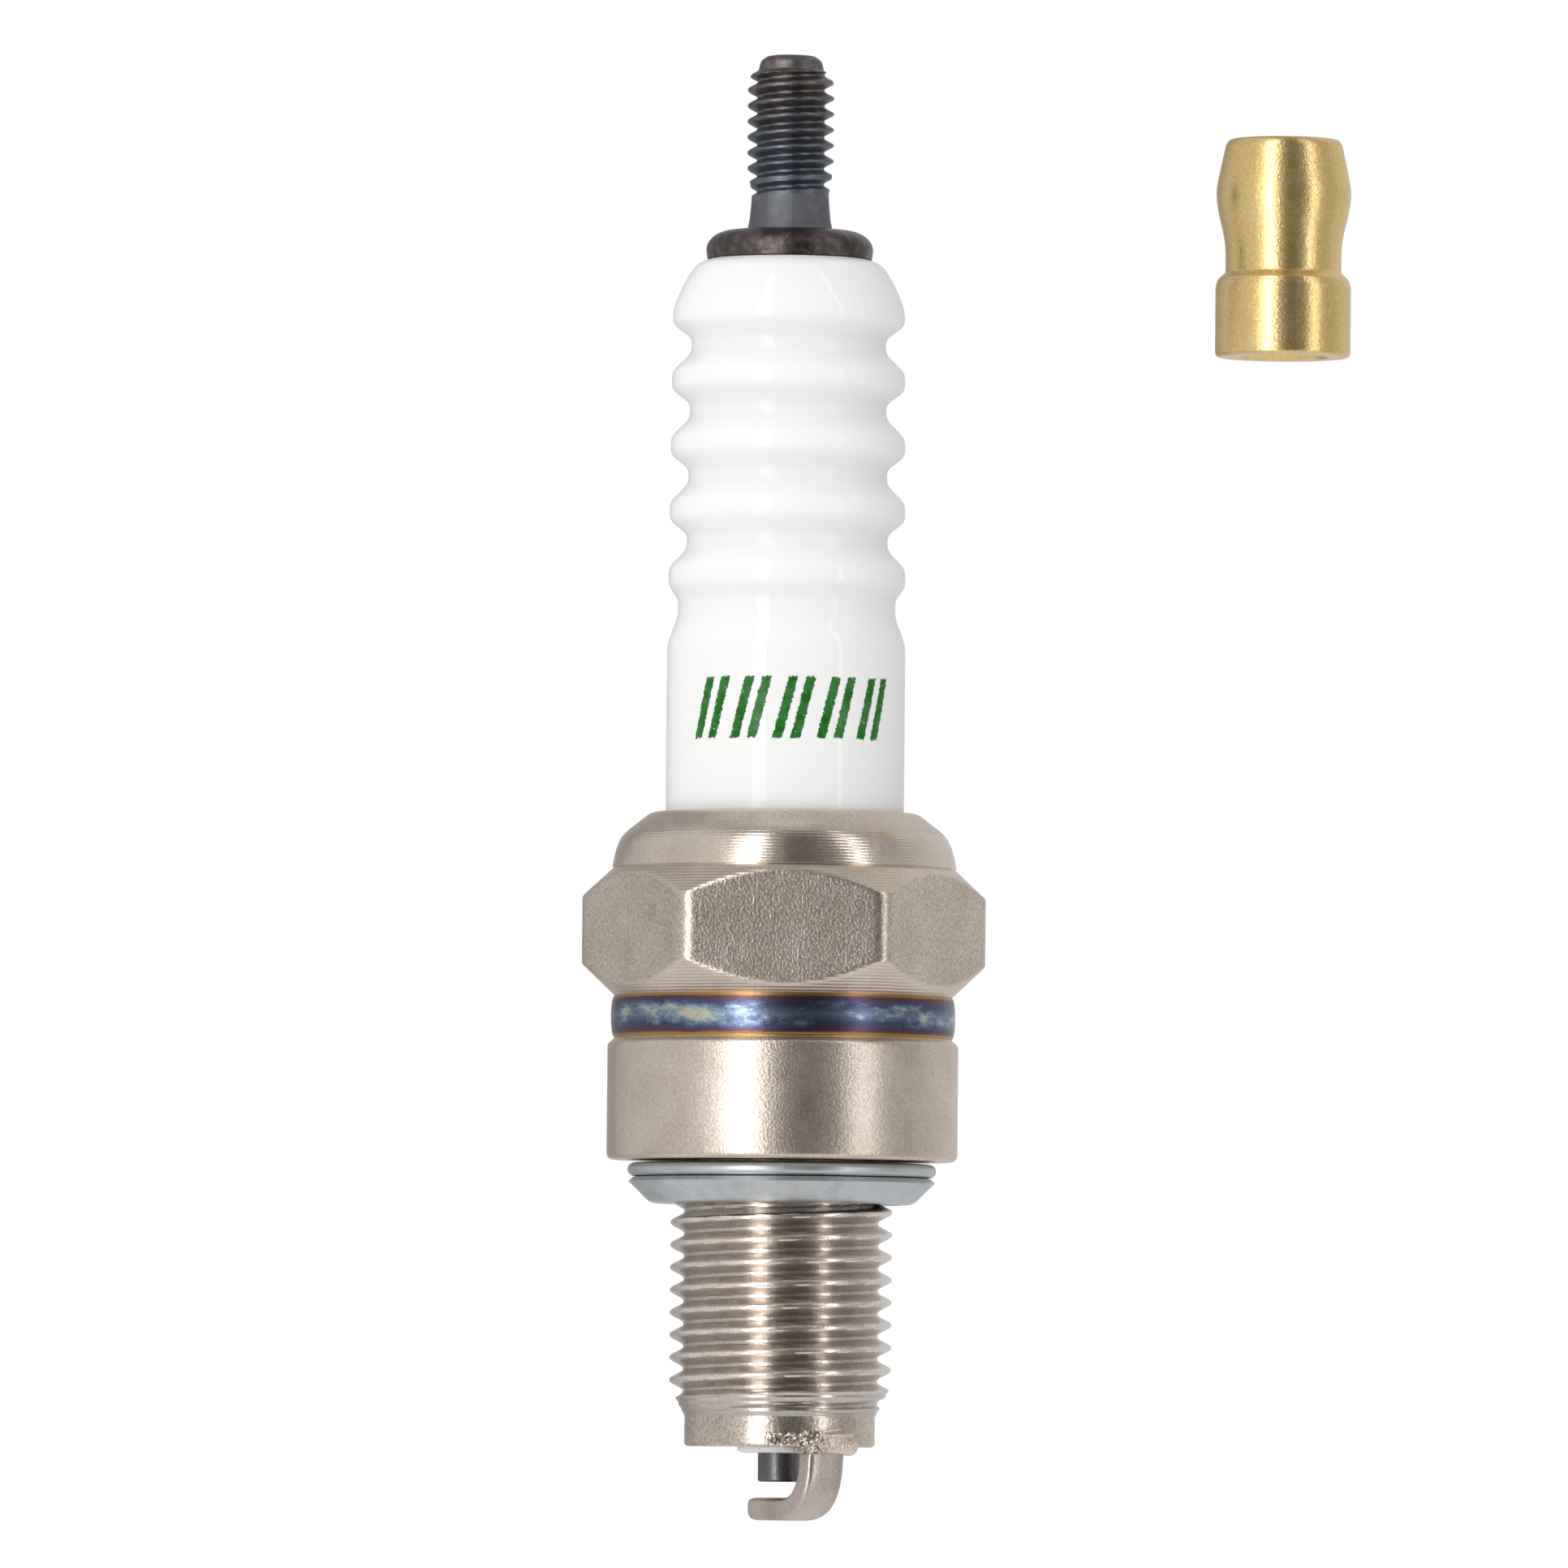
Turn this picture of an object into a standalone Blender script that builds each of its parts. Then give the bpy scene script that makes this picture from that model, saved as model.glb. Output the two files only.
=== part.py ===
"""Spark plug with an M10 x 1.0 thread, 12.7 mm reach and a 16 mm hexagon, with its loose brass terminal nut.

The plug stands along Z with its terminal up. The origin is on its axis, in the plane of the shell's gasket
shoulder, from which the reach is measured. The sizes below are in millimetres, and MM turns them into metres.
"""

import math

import bmesh
import bpy
from mathutils import Matrix, Vector

MM = 0.001
FIT = 0.05  # the gap left between two pieces that touch
STEPS = 30  # sides of the large turned pieces
SMALL_STEPS = 18  # sides of the small turned pieces
MERGE = 1e-6
FLANK = math.tan(math.radians(30))  # slope of a 60 degree thread's flank

# Shell: thread, neck and barrel below the hexagon, crimped lip above it.
REACH = 12.7
SHELL_PITCH = 1.0
CREST_RADIUS, ROOT_RADIUS = 4.93, 4.32
NECK_RADIUS, NECK_LENGTH = 4.25, 1.85
PILOT_RADIUS, PILOT_TOP = 4.23, -11.35
FADE_TOP = -10.0  # the thread's crest is full down to here, and fades out at PILOT_TOP
GROOVE_START = -11.76  # height of the thread groove's middle where it crosses +X, low in the pilot
BARREL_RADIUS, BARREL_TOP = 7.8, 5.15
BUCKLE_RADIUS, BUCKLE_LOW, BUCKLE_BULGE = 7.53, 5.45, 0.1
HEX_ACROSS_FLATS = 15.8
HEX_CORNER_RADIUS = 8.97
HEX_BASE, HEX_LOW, HEX_HIGH, HEX_CAP = 7.36, 8.74, 11.7, 13.07  # the corners are full from HEX_LOW to HEX_HIGH
HEX_CAP_RADIUS = 7.66
SHELL_TOP = 15.5
LIP_ROUNDING = 2.5
LIP_UNDERSIDE = 14.6
CHAMBER_RADIUS = 6.05
STEM_BORE_RADIUS = 3.3
LEDGE_RADIUS = 2.75
NOSE_BORE_RADIUS = 3.0

# Insulator.
BODY_RADIUS, BODY_TOP = 5.3, 22.8
CAP_TOP, CAP_SHOULDER = 40.12, 37.5
CAP_RADIUS = 3.7
FIRST_GROOVE, GROOVE_PITCH, GROOVE_COUNT = 36.2, 2.92, 5
GROOVE_RADIUS, LAST_GROOVE_RADIUS = 4.32, 4.72
RIB_RADIUS = 5.18
FLANGE_RADIUS = 5.97
FLANGE_LOW, FLANGE_HIGH = 6.3, 10.9
STEM_RADIUS = 3.22
STEM_TOP, STEM_END = 3.3, -3.5
LEG_RADIUS, LEG_TOP = 2.6, -4.15
NOSE_RADIUS, NOSE_TIP = 1.87, -12.97
BORE_RADIUS = 1.8
BORE_END = -2.2
ELECTRODE_BORE_RADIUS = 1.02

# Terminal stud, M4 x 0.7.
STUD_TOP = 49.25
STUD_PITCH = 0.7
STUD_CREST_RADIUS, STUD_ROOT_RADIUS = 1.93, 1.52
STUD_GROOVE_START = 43.52
SHANK_TOP, SHANK_RADIUS, SHANK_BASE_RADIUS = 43.0, 1.735, 1.88
COLLAR_TOP, COLLAR_RADIUS = 41.45, 3.72
COLLAR_ROUNDING = 1.42, 0.9  # across and up
ROD_RADIUS, ROD_END = 1.74, 20.3
STUD_END = 16.5
GRIP_RADIUS, GRIP_ROOT_RADIUS, GRIP_COUNT = 1.5, 1.3, 3

# Conductor stack in the bore.
SEAL_TOP, RESISTOR_TOP, RESISTOR_END = 20.05, 13.4, 5.6
HEAD_TOP, HEAD_RADIUS = 0.35, 1.25
HEAD_FLANGE_RADIUS, HEAD_FLANGE_TOP = 1.6, -1.65
ELECTRODE_RADIUS, ELECTRODE_TIP = 0.95, -14.25
CORE_RADIUS, CORE_END = 0.45, -11.8

# Ground electrode, a flat strap bent from the shell's end face to below the centre electrode.
SPARK_GAP = 0.7
STRAP_WIDTH, STRAP_THICKNESS = 1.95, 1.02
STRAP_FOOT_RADIUS = 3.3  # from the plug's axis to the middle of the strap at the shell
STRAP_KNEE_RADIUS, STRAP_KNEE = 3.18, -13.8  # the middle of the leg, which leans in from the shell
STRAP_CORNER_RADIUS = 2.72  # where the middle lines of the leg and the arm would meet
STRAP_BEND = 1.45  # length that the bend takes off the leg and off the arm
STRAP_REACH_PAST_AXIS = 1.13
STRAP_AZIMUTH = -55.0  # degrees from +X to the strap's foot, seen from above
WELD_HEIGHT, WELD_THICKNESS = 0.28, 0.25

# Gasket, one folded strip in three plies.
GASKET_SHEET = 0.28
GASKET_TOP, GASKET_BASE = -0.12, -1.92
RIM_RADIUS, RIM_BEND = 6.85, 0.19
GASKET_INNER_RADIUS, GASKET_INNER_BEND = 4.61, 0.4
DISH_FLAT_RADIUS = 5.75
DISH_EDGE_RADIUS, DISH_EDGE_Z = 6.68, -1.0

# Terminal nut, turned brass, lying free beside the stud.
NUT_X, NUT_BASE, NUT_HEIGHT = 22.0, 35.9, 9.9
NUT_RADIUS, NUT_WAIST_RADIUS, NUT_TOP_RADIUS = 3.02, 2.58, 2.6
NUT_BORE_RADIUS, NUT_THREAD_RADIUS, NUT_BORE_DEPTH = 1.66, 2.02, 7.6

COLOURS = {  # linear red, green and blue, then roughness and metallic
    "nickel": (0.62, 0.57, 0.52, 0.3, 1.0),
    "ceramic": (0.9, 0.9, 0.89, 0.12, 0.0),
    "black_steel": (0.06, 0.06, 0.065, 0.45, 1.0),
    "zinc": (0.5, 0.54, 0.56, 0.35, 1.0),
    "brass": (0.78, 0.6, 0.28, 0.25, 1.0),
    "copper": (0.8, 0.42, 0.28, 0.3, 1.0),
    "electrode_alloy": (0.2, 0.2, 0.21, 0.4, 1.0),
    "glass_seal": (0.12, 0.08, 0.06, 0.5, 0.0),
    "carbon": (0.03, 0.03, 0.03, 0.7, 0.0),
    "talc": (0.8, 0.8, 0.78, 0.9, 0.0),
}


def clear_scene():
    for obj in list(bpy.data.objects):
        bpy.data.objects.remove(obj)


def new_collection(name):
    found = bpy.data.collections.new(name)
    bpy.context.scene.collection.children.link(found)
    return found


def material(name):
    found = bpy.data.materials.get(name)
    if found:
        return found
    red, green, blue, roughness, metallic = COLOURS[name]
    found = bpy.data.materials.new(name)
    found.use_nodes = True
    shader = found.node_tree.nodes["Principled BSDF"]
    shader.inputs["Base Color"].default_value = (red, green, blue, 1)
    shader.inputs["Roughness"].default_value = roughness
    shader.inputs["Metallic"].default_value = metallic
    return found


def add_object(name, mesh, finish, collection, at=(0, 0, 0)):
    obj = bpy.data.objects.new(name, mesh)
    obj.location = Vector(at) * MM
    if finish:
        mesh.materials.append(material(finish))
    collection.objects.link(obj)
    return obj


def bmesh_object(name, mesh_data, finish, collection, at=(0, 0, 0)):
    mesh = bpy.data.meshes.new(name)
    mesh_data.to_mesh(mesh)
    mesh_data.free()
    return add_object(name, mesh, finish, collection, at)


def arc(centre_r, centre_z, radius, start, end, count, height=None):
    """count + 1 points on a circle or an ellipse of an outline, between two angles in degrees."""
    height = height or radius
    angles = [math.radians(start + (end - start) * i / count) for i in range(count + 1)]
    return [(centre_r + radius * math.cos(a), centre_z + height * math.sin(a)) for a in angles]


def half_wave(from_r, from_z, to_r, to_z, count):
    """count points on a smooth step of an outline, without its first end."""
    shares = [(1 - math.cos(math.pi * i / count)) / 2 for i in range(1, count + 1)]
    return [(from_r + (to_r - from_r) * s, from_z + (to_z - from_z) * (i + 1) / count) for i, s in enumerate(shares)]


def turned(name, outline, finish, collection, steps=STEPS, at=(0, 0, 0)):
    """A solid of revolution. The outline runs down the outer side; one that starts off the axis is a closed ring."""
    count = len(outline)
    edges = [(i, i + 1) for i in range(count - 1)]
    if outline[0][0] > 0:
        edges.append((count - 1, 0))
    mesh = bpy.data.meshes.new(name)
    mesh.from_pydata([(r * MM, 0, z * MM) for r, z in outline], edges, [])
    obj = add_object(name, mesh, finish, collection, at)
    add_screw(obj, steps)
    return obj


def add_screw(obj, steps):
    screw = obj.modifiers.new("turn", "SCREW")
    screw.steps = screw.render_steps = steps
    screw.use_merge_vertices = True
    screw.merge_threshold = MERGE
    screw.use_smooth_shade = True


def hide_cutter(obj):
    obj.hide_render = True
    obj.display_type = "WIRE"
    return obj


def cut(obj, cutter):
    boolean = obj.modifiers.new("cut_" + cutter.name, "BOOLEAN")
    boolean.operation = "DIFFERENCE"
    boolean.solver = "EXACT"
    boolean.object = cutter


def thread_cutter(name, near, far, pitch, start_z, turns, steps, cutters, at=(0, 0, 0)):
    """A right-hand helical bar, rising from +X; near and far are its section's (radius, half width)."""
    near_radius, near_half = near
    far_radius, far_half = far
    corners = [
        (near_radius, start_z - near_half),
        (far_radius, start_z - far_half),
        (far_radius, start_z + far_half),
        (near_radius, start_z + near_half),
    ]
    mesh_data = bmesh.new()
    face = mesh_data.faces.new([mesh_data.verts.new((r * MM, 0, z * MM)) for r, z in corners])
    count = round(turns * steps)
    bmesh.ops.spin(
        mesh_data,
        geom=[face, *face.edges, *face.verts],
        axis=(0, 0, 1),
        dvec=(0, 0, pitch * MM / steps),
        angle=2 * math.pi * count / steps,
        steps=count,
    )
    bmesh.ops.recalc_face_normals(mesh_data, faces=mesh_data.faces)
    return hide_cutter(bmesh_object(name, mesh_data, None, cutters, at))


def external_thread_cutter(name, crest, root, pitch, start_z, turns, steps, cutters):
    """The groove of an outside thread, its bottom a tenth of the pitch wide."""
    clear = 0.05
    root_half = pitch / 20
    mouth_half = root_half + (crest + clear - root) * FLANK
    near, far = (root, root_half), (crest + clear, mouth_half)
    return thread_cutter(name, near, far, pitch, start_z, turns, steps, cutters)


def hexagon_cutter(cutters):
    """A hexagonal tube: its inner faces are the flats, two of them square to Y."""
    corner = HEX_ACROSS_FLATS / 2 / math.cos(math.pi / 6) * MM
    mesh_data = bmesh.new()
    bmesh.ops.create_cone(
        mesh_data,
        cap_ends=False,
        segments=6,
        radius1=corner,
        radius2=corner,
        depth=(HEX_CAP - HEX_BASE) * MM,
        matrix=Matrix.Rotation(math.pi / 6, 4, "Z"),
    )
    obj = bmesh_object("hexagon_cutter", mesh_data, None, cutters, (0, 0, (HEX_BASE + HEX_CAP) / 2))
    wall = obj.modifiers.new("wall", "SOLIDIFY")
    wall.thickness = 3 * MM
    wall.offset = 1
    wall.use_even_offset = True
    return hide_cutter(obj)


def shell_outline():
    """Outer side from the crimped lip down to the firing end, then the bore back up."""
    lip_r, lip_z = BUCKLE_RADIUS - LIP_ROUNDING, SHELL_TOP - LIP_ROUNDING * math.sin(math.radians(70))
    outer = [(BODY_RADIUS + FIT, SHELL_TOP)] + arc(lip_r, lip_z, LIP_ROUNDING, 70, 4, 5)
    outer += [(HEX_CAP_RADIUS, HEX_CAP), (HEX_CORNER_RADIUS, HEX_HIGH), (HEX_CORNER_RADIUS, HEX_LOW)]
    outer += [(BUCKLE_RADIUS, HEX_BASE), (BUCKLE_RADIUS + BUCKLE_BULGE, (HEX_BASE + BUCKLE_LOW) / 2)]
    outer += [(BUCKLE_RADIUS, BUCKLE_LOW), (BARREL_RADIUS, BARREL_TOP), (BARREL_RADIUS, 0.25)]
    outer += [(BARREL_RADIUS - 0.25, 0), (NECK_RADIUS, 0), (NECK_RADIUS, -NECK_LENGTH)]
    outer += [(CREST_RADIUS, -NECK_LENGTH - 0.4), (CREST_RADIUS, FADE_TOP), (PILOT_RADIUS, PILOT_TOP)]
    outer += [(PILOT_RADIUS, -REACH + 0.12), (PILOT_RADIUS - 0.12, -REACH)]
    bore = [(NOSE_BORE_RADIUS, -REACH), (NOSE_BORE_RADIUS, -5.3), (LEDGE_RADIUS, -5.0), (LEDGE_RADIUS, -4.4)]
    bore += [(STEM_BORE_RADIUS, -3.85), (STEM_BORE_RADIUS, STEM_TOP - 0.1), (CHAMBER_RADIUS, FLANGE_LOW - 0.1)]
    bore += [(CHAMBER_RADIUS, LIP_UNDERSIDE), (BODY_RADIUS + FIT, LIP_UNDERSIDE + 0.15)]
    return outer + bore


def make_shell(parts, cutters):
    shell = turned("shell", shell_outline(), "nickel", parts)
    cut(shell, hexagon_cutter(cutters))
    turns = 10.5
    place = (SHELL_PITCH, GROOVE_START, turns, STEPS, cutters)
    cut(shell, external_thread_cutter("shell_thread_cutter", CREST_RADIUS, ROOT_RADIUS, *place))


def insulator_outline():
    """Cap, ribs, plain body, flange and stem outside, then the stepped bore back up."""
    outer = [(CAP_RADIUS, CAP_TOP)]
    cap_width = 1.85
    outer += arc(RIB_RADIUS - cap_width, CAP_SHOULDER, cap_width, 68, 0, 4, CAP_TOP + 0.2 - CAP_SHOULDER)
    for i in range(GROOVE_COUNT):
        groove_z = FIRST_GROOVE - i * GROOVE_PITCH
        last = i == GROOVE_COUNT - 1
        depth = LAST_GROOVE_RADIUS if last else GROOVE_RADIUS
        outer += half_wave(*outer[-1], depth, groove_z, 3)
        if last:
            outer += half_wave(depth, groove_z, BODY_RADIUS, BODY_TOP, 3)
        else:
            outer += half_wave(depth, groove_z, RIB_RADIUS, groove_z - GROOVE_PITCH / 2, 3)
    outer += [(BODY_RADIUS, FLANGE_HIGH + 0.6), (FLANGE_RADIUS, FLANGE_HIGH), (FLANGE_RADIUS, FLANGE_LOW)]
    outer += [(STEM_RADIUS, STEM_TOP), (STEM_RADIUS, STEM_END), (LEG_RADIUS, LEG_TOP), (LEG_RADIUS, -5.4)]
    outer += [(NOSE_RADIUS, NOSE_TIP + 0.4), (NOSE_RADIUS - 0.15, NOSE_TIP + 0.1), (NOSE_RADIUS - 0.5, NOSE_TIP)]
    bore = [(ELECTRODE_BORE_RADIUS, NOSE_TIP), (ELECTRODE_BORE_RADIUS, BORE_END - 0.6)]
    bore += [(BORE_RADIUS, BORE_END), (BORE_RADIUS, CAP_TOP)]
    return outer + bore


def stud_outline():
    """Threaded head, tapered shank, collar on the insulator, rod, and the grooved end held in glass."""
    top = [(0, STUD_TOP), (1.2, STUD_TOP), (1.48, STUD_TOP - 0.5), (STUD_CREST_RADIUS, 48.1)]
    top += [(STUD_CREST_RADIUS, 44.7), (1.78, SHANK_TOP + 0.1), (SHANK_RADIUS, SHANK_TOP)]
    top += [(SHANK_BASE_RADIUS, COLLAR_TOP)]
    across, up = COLLAR_ROUNDING
    collar = arc(COLLAR_RADIUS - across, COLLAR_TOP - up, across, 90, 0, 4, up)
    collar += [(COLLAR_RADIUS, CAP_TOP + FIT + 0.2), (COLLAR_RADIUS - 0.2, CAP_TOP + FIT)]
    rod = [(ROD_RADIUS, CAP_TOP + FIT), (ROD_RADIUS, ROD_END)]
    span = (ROD_END - STUD_END) / GRIP_COUNT
    for i in range(GRIP_COUNT):
        head = ROD_END - i * span
        rod += [(GRIP_ROOT_RADIUS, head - 0.2), (GRIP_ROOT_RADIUS, head - 0.6), (GRIP_RADIUS, head - 0.8)]
        rod += [(GRIP_RADIUS, head - span + 0.05)]
    return top + collar + rod + [(0, STUD_END)]


def make_stud(parts, cutters):
    stud = turned("terminal_stud", stud_outline(), "black_steel", parts, SMALL_STEPS)
    turns = 8.75
    place = (STUD_PITCH, STUD_GROOVE_START, turns, SMALL_STEPS, cutters)
    cut(stud, external_thread_cutter("stud_thread_cutter", STUD_CREST_RADIUS, STUD_ROOT_RADIUS, *place))


def make_conductors(parts):
    """What fills the insulator's bore below the stud."""
    seal_radius = BORE_RADIUS - FIT
    well = GRIP_RADIUS + FIT
    upper = [(0, STUD_END - FIT), (well, STUD_END - FIT), (well, SEAL_TOP), (seal_radius, SEAL_TOP)]
    upper += [(seal_radius, RESISTOR_TOP + FIT), (0, RESISTOR_TOP + FIT)]
    turned("upper_glass_seal", upper, "glass_seal", parts, SMALL_STEPS)

    resistor = [(0, RESISTOR_TOP), (seal_radius, RESISTOR_TOP), (seal_radius, RESISTOR_END), (0, RESISTOR_END)]
    turned("resistor", resistor, "carbon", parts, SMALL_STEPS)

    cup = HEAD_RADIUS + FIT
    lower = [(0, RESISTOR_END - FIT), (seal_radius, RESISTOR_END - FIT), (seal_radius, HEAD_FLANGE_TOP + FIT)]
    lower += [(cup, HEAD_FLANGE_TOP + FIT), (cup, HEAD_TOP + FIT), (0, HEAD_TOP + FIT)]
    turned("lower_glass_seal", lower, "glass_seal", parts, SMALL_STEPS)

    well = CORE_RADIUS + FIT
    edge = 0.12
    sheath = [(0, CORE_END - FIT), (well, CORE_END - FIT), (well, HEAD_TOP), (HEAD_RADIUS, HEAD_TOP)]
    sheath += [(HEAD_RADIUS, HEAD_FLANGE_TOP), (HEAD_FLANGE_RADIUS, HEAD_FLANGE_TOP)]
    sheath += [(HEAD_FLANGE_RADIUS, BORE_END + 0.1), (ELECTRODE_RADIUS, BORE_END - 0.55)]
    sheath += [(ELECTRODE_RADIUS, ELECTRODE_TIP + edge), (ELECTRODE_RADIUS - edge, ELECTRODE_TIP)]
    turned("centre_electrode", sheath + [(0, ELECTRODE_TIP)], "electrode_alloy", parts, SMALL_STEPS)

    core = [(0, HEAD_TOP), (CORE_RADIUS, HEAD_TOP), (CORE_RADIUS, CORE_END + 0.2), (CORE_RADIUS - 0.2, CORE_END)]
    turned("electrode_copper_core", core + [(0, CORE_END)], "copper", parts, SMALL_STEPS)


def wire_ring(name, height, parts):
    """A packing ring of round wire, lying between the insulator's body and the shell's chamber."""
    inner, outer = BODY_RADIUS + FIT, CHAMBER_RADIUS - FIT
    bpy.ops.mesh.primitive_torus_add(
        location=(0, 0, height * MM),
        major_radius=(inner + outer) / 2 * MM,
        minor_radius=(outer - inner) / 2 * MM,
        major_segments=STEPS,
        minor_segments=6,
    )
    ring = bpy.context.object
    ring.name = name
    ring.data.name = name
    ring.data.materials.append(material("zinc"))
    ring.data.shade_smooth()
    for collection in list(ring.users_collection):
        collection.objects.unlink(ring)
    parts.objects.link(ring)


def make_packing(parts):
    inner, outer = BODY_RADIUS + FIT, CHAMBER_RADIUS - FIT
    wire = (outer - inner) / 2
    low_ring = FLANGE_HIGH + 0.6 + FIT + wire
    high_ring = LIP_UNDERSIDE - FIT - wire
    wire_ring("lower_packing_ring", low_ring, parts)
    wire_ring("upper_packing_ring", high_ring, parts)
    base, top = low_ring + wire + FIT, high_ring - wire - FIT
    turned("talc_packing", [(inner, top), (outer, top), (outer, base), (inner, base)], "talc", parts)
    washer_inner, washer_outer = LEDGE_RADIUS + 0.05, STEM_RADIUS - 0.05
    washer = [(washer_outer, -3.68), (washer_outer, -3.9), (washer_inner, -4.27), (washer_inner, -4.05)]
    turned("seat_washer", washer, "copper", parts)


def make_gasket(parts):
    """The folded strip: top ply, round outer rim, middle ply, inner bend, then the dished bottom ply."""
    half = GASKET_SHEET / 2
    top, base = GASKET_TOP - half, GASKET_BASE + half
    rim_r = RIM_RADIUS - half - RIM_BEND
    bend_r = GASKET_INNER_RADIUS + half + GASKET_INNER_BEND
    middle = top - 2 * RIM_BEND
    line = [(5.05, top)] + arc(rim_r, top - RIM_BEND, RIM_BEND, 90, -90, 4)
    line += [(bend_r + 0.3, middle)] + arc(bend_r, base + GASKET_INNER_BEND, GASKET_INNER_BEND, 90, 270, 4)
    line += [(DISH_FLAT_RADIUS, base), (DISH_EDGE_RADIUS, DISH_EDGE_Z)]
    mesh = bpy.data.meshes.new("gasket")
    mesh.from_pydata([(r * MM, 0, z * MM) for r, z in line], [(i, i + 1) for i in range(len(line) - 1)], [])
    gasket = add_object("gasket", mesh, "zinc", parts)
    add_screw(gasket, STEPS)
    sheet = gasket.modifiers.new("sheet", "SOLIDIFY")
    sheet.thickness = GASKET_SHEET * MM
    sheet.offset = 0
    sheet.use_even_offset = True


def strap_middle():
    """The strap's middle line seen from its side: the distance from the plug's axis, and the height."""
    arm = ELECTRODE_TIP - SPARK_GAP - STRAP_THICKNESS / 2
    foot, knee = Vector((STRAP_FOOT_RADIUS, -REACH - FIT)), Vector((STRAP_KNEE_RADIUS, STRAP_KNEE))
    corner = Vector((STRAP_CORNER_RADIUS, arm))
    start = corner + (knee - corner).normalized() * STRAP_BEND
    end = corner - Vector((STRAP_BEND, 0))
    line = [foot, foot - Vector((0, WELD_HEIGHT + 0.05)), knee]
    for i in range(9):
        t = i / 8
        line.append(start * (1 - t) ** 2 + corner * 2 * t * (1 - t) + end * t**2)
    return line + [Vector((-STRAP_REACH_PAST_AXIS, arm))]


def strap_outline():
    """Side view of the bent strap, half its thickness to both sides of its middle line."""
    line = strap_middle()
    outside, inside = [], []
    for i, here in enumerate(line):
        along = (line[min(i + 1, len(line) - 1)] - line[max(i - 1, 0)]).normalized()
        outwards = Vector((-along.y, along.x)) * STRAP_THICKNESS / 2
        outside.append(here + outwards)
        inside.append(here - outwards)
    return [tuple(point) for point in outside + inside[::-1]]


def make_ground_electrode(parts):
    to_foot = Matrix.Rotation(math.radians(STRAP_AZIMUTH), 4, "Z")
    mesh_data = bmesh.new()
    side = [mesh_data.verts.new((r * MM, -STRAP_WIDTH / 2 * MM, z * MM)) for r, z in strap_outline()]
    grown = bmesh.ops.extrude_face_region(mesh_data, geom=[mesh_data.faces.new(side)])["geom"]
    moved = [v for v in grown if isinstance(v, bmesh.types.BMVert)]
    bmesh.ops.translate(mesh_data, verts=moved, vec=(0, STRAP_WIDTH * MM, 0))
    bmesh.ops.recalc_face_normals(mesh_data, faces=mesh_data.faces)
    strap = bmesh_object("ground_electrode", mesh_data, "nickel", parts)
    strap.matrix_world = to_foot
    edge = strap.modifiers.new("rounded_edges", "BEVEL")
    edge.width = 0.2 * MM
    edge.segments = 2
    edge.limit_method = "ANGLE"
    edge.angle_limit = math.radians(40)

    mesh_data = bmesh.new()
    size = Matrix.Diagonal((STRAP_THICKNESS + 2 * FIT, STRAP_WIDTH + 2 * FIT, WELD_HEIGHT, 1))
    made = bmesh.ops.create_cube(mesh_data, size=1, matrix=size)
    caps = {f for v in made["verts"] for f in v.link_faces if abs(f.normal.z) > 0.9}
    bmesh.ops.delete(mesh_data, geom=list(caps), context="FACES_ONLY")
    bmesh.ops.scale(mesh_data, vec=(MM, MM, MM), verts=mesh_data.verts)
    weld = bmesh_object("ground_electrode_weld", mesh_data, "nickel", parts)
    foot = Vector((STRAP_FOOT_RADIUS, 0, -REACH - FIT - WELD_HEIGHT / 2)) * MM
    weld.matrix_world = to_foot @ Matrix.Translation(foot)
    flash = weld.modifiers.new("flash", "SOLIDIFY")
    flash.thickness = WELD_THICKNESS * MM
    flash.offset = 1
    flash.use_even_offset = True


def nut_outline():
    """Flat top, bulged head, waist and plain barrel, then the blind bore."""
    top = [(0, NUT_HEIGHT), (2.35, NUT_HEIGHT), (NUT_TOP_RADIUS, NUT_HEIGHT - 0.3)]
    head = [(2.93, 8.0), (NUT_RADIUS, 7.5), (2.97, 6.95), (2.8, 6.2), (NUT_WAIST_RADIUS, 5.1)]
    barrel = [(NUT_WAIST_RADIUS, 3.8), (NUT_RADIUS, 3.25), (NUT_RADIUS, 0.3), (NUT_RADIUS - 0.25, 0)]
    bore = [(2.1, 0), (NUT_BORE_RADIUS, 0.4), (NUT_BORE_RADIUS, NUT_BORE_DEPTH - 0.5), (0, NUT_BORE_DEPTH)]
    return top + head + barrel + bore


def make_terminal_nut(parts, cutters):
    place = (NUT_X, 0, NUT_BASE)
    nut = turned("terminal_nut", nut_outline(), "brass", parts, SMALL_STEPS, place)
    inner = NUT_BORE_RADIUS - 0.1
    root_half = STUD_PITCH / 20
    near = (inner, root_half + (NUT_THREAD_RADIUS - inner) * FLANK)
    far = (NUT_THREAD_RADIUS, root_half)
    start_z, turns = 0.8, 7
    cut(nut, thread_cutter("nut_thread_cutter", near, far, STUD_PITCH, start_z, turns, SMALL_STEPS, cutters, place))


def main():
    clear_scene()
    parts = new_collection("spark_plug")
    cutters = new_collection("cutters")
    make_shell(parts, cutters)
    turned("insulator", insulator_outline(), "ceramic", parts)
    make_stud(parts, cutters)
    make_conductors(parts)
    make_packing(parts)
    make_gasket(parts)
    make_ground_electrode(parts)
    make_terminal_nut(parts, cutters)


main()
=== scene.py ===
"""The looks of the spark plug: fine meshes and procedural materials round the frame, a camera and a studio.

Lengths are in millimetres unless a name says otherwise, and MM turns them into metres.
"""

import math
import random

import bmesh
import bpy
import numpy as np
from mathutils import Matrix, Vector, noise


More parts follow.
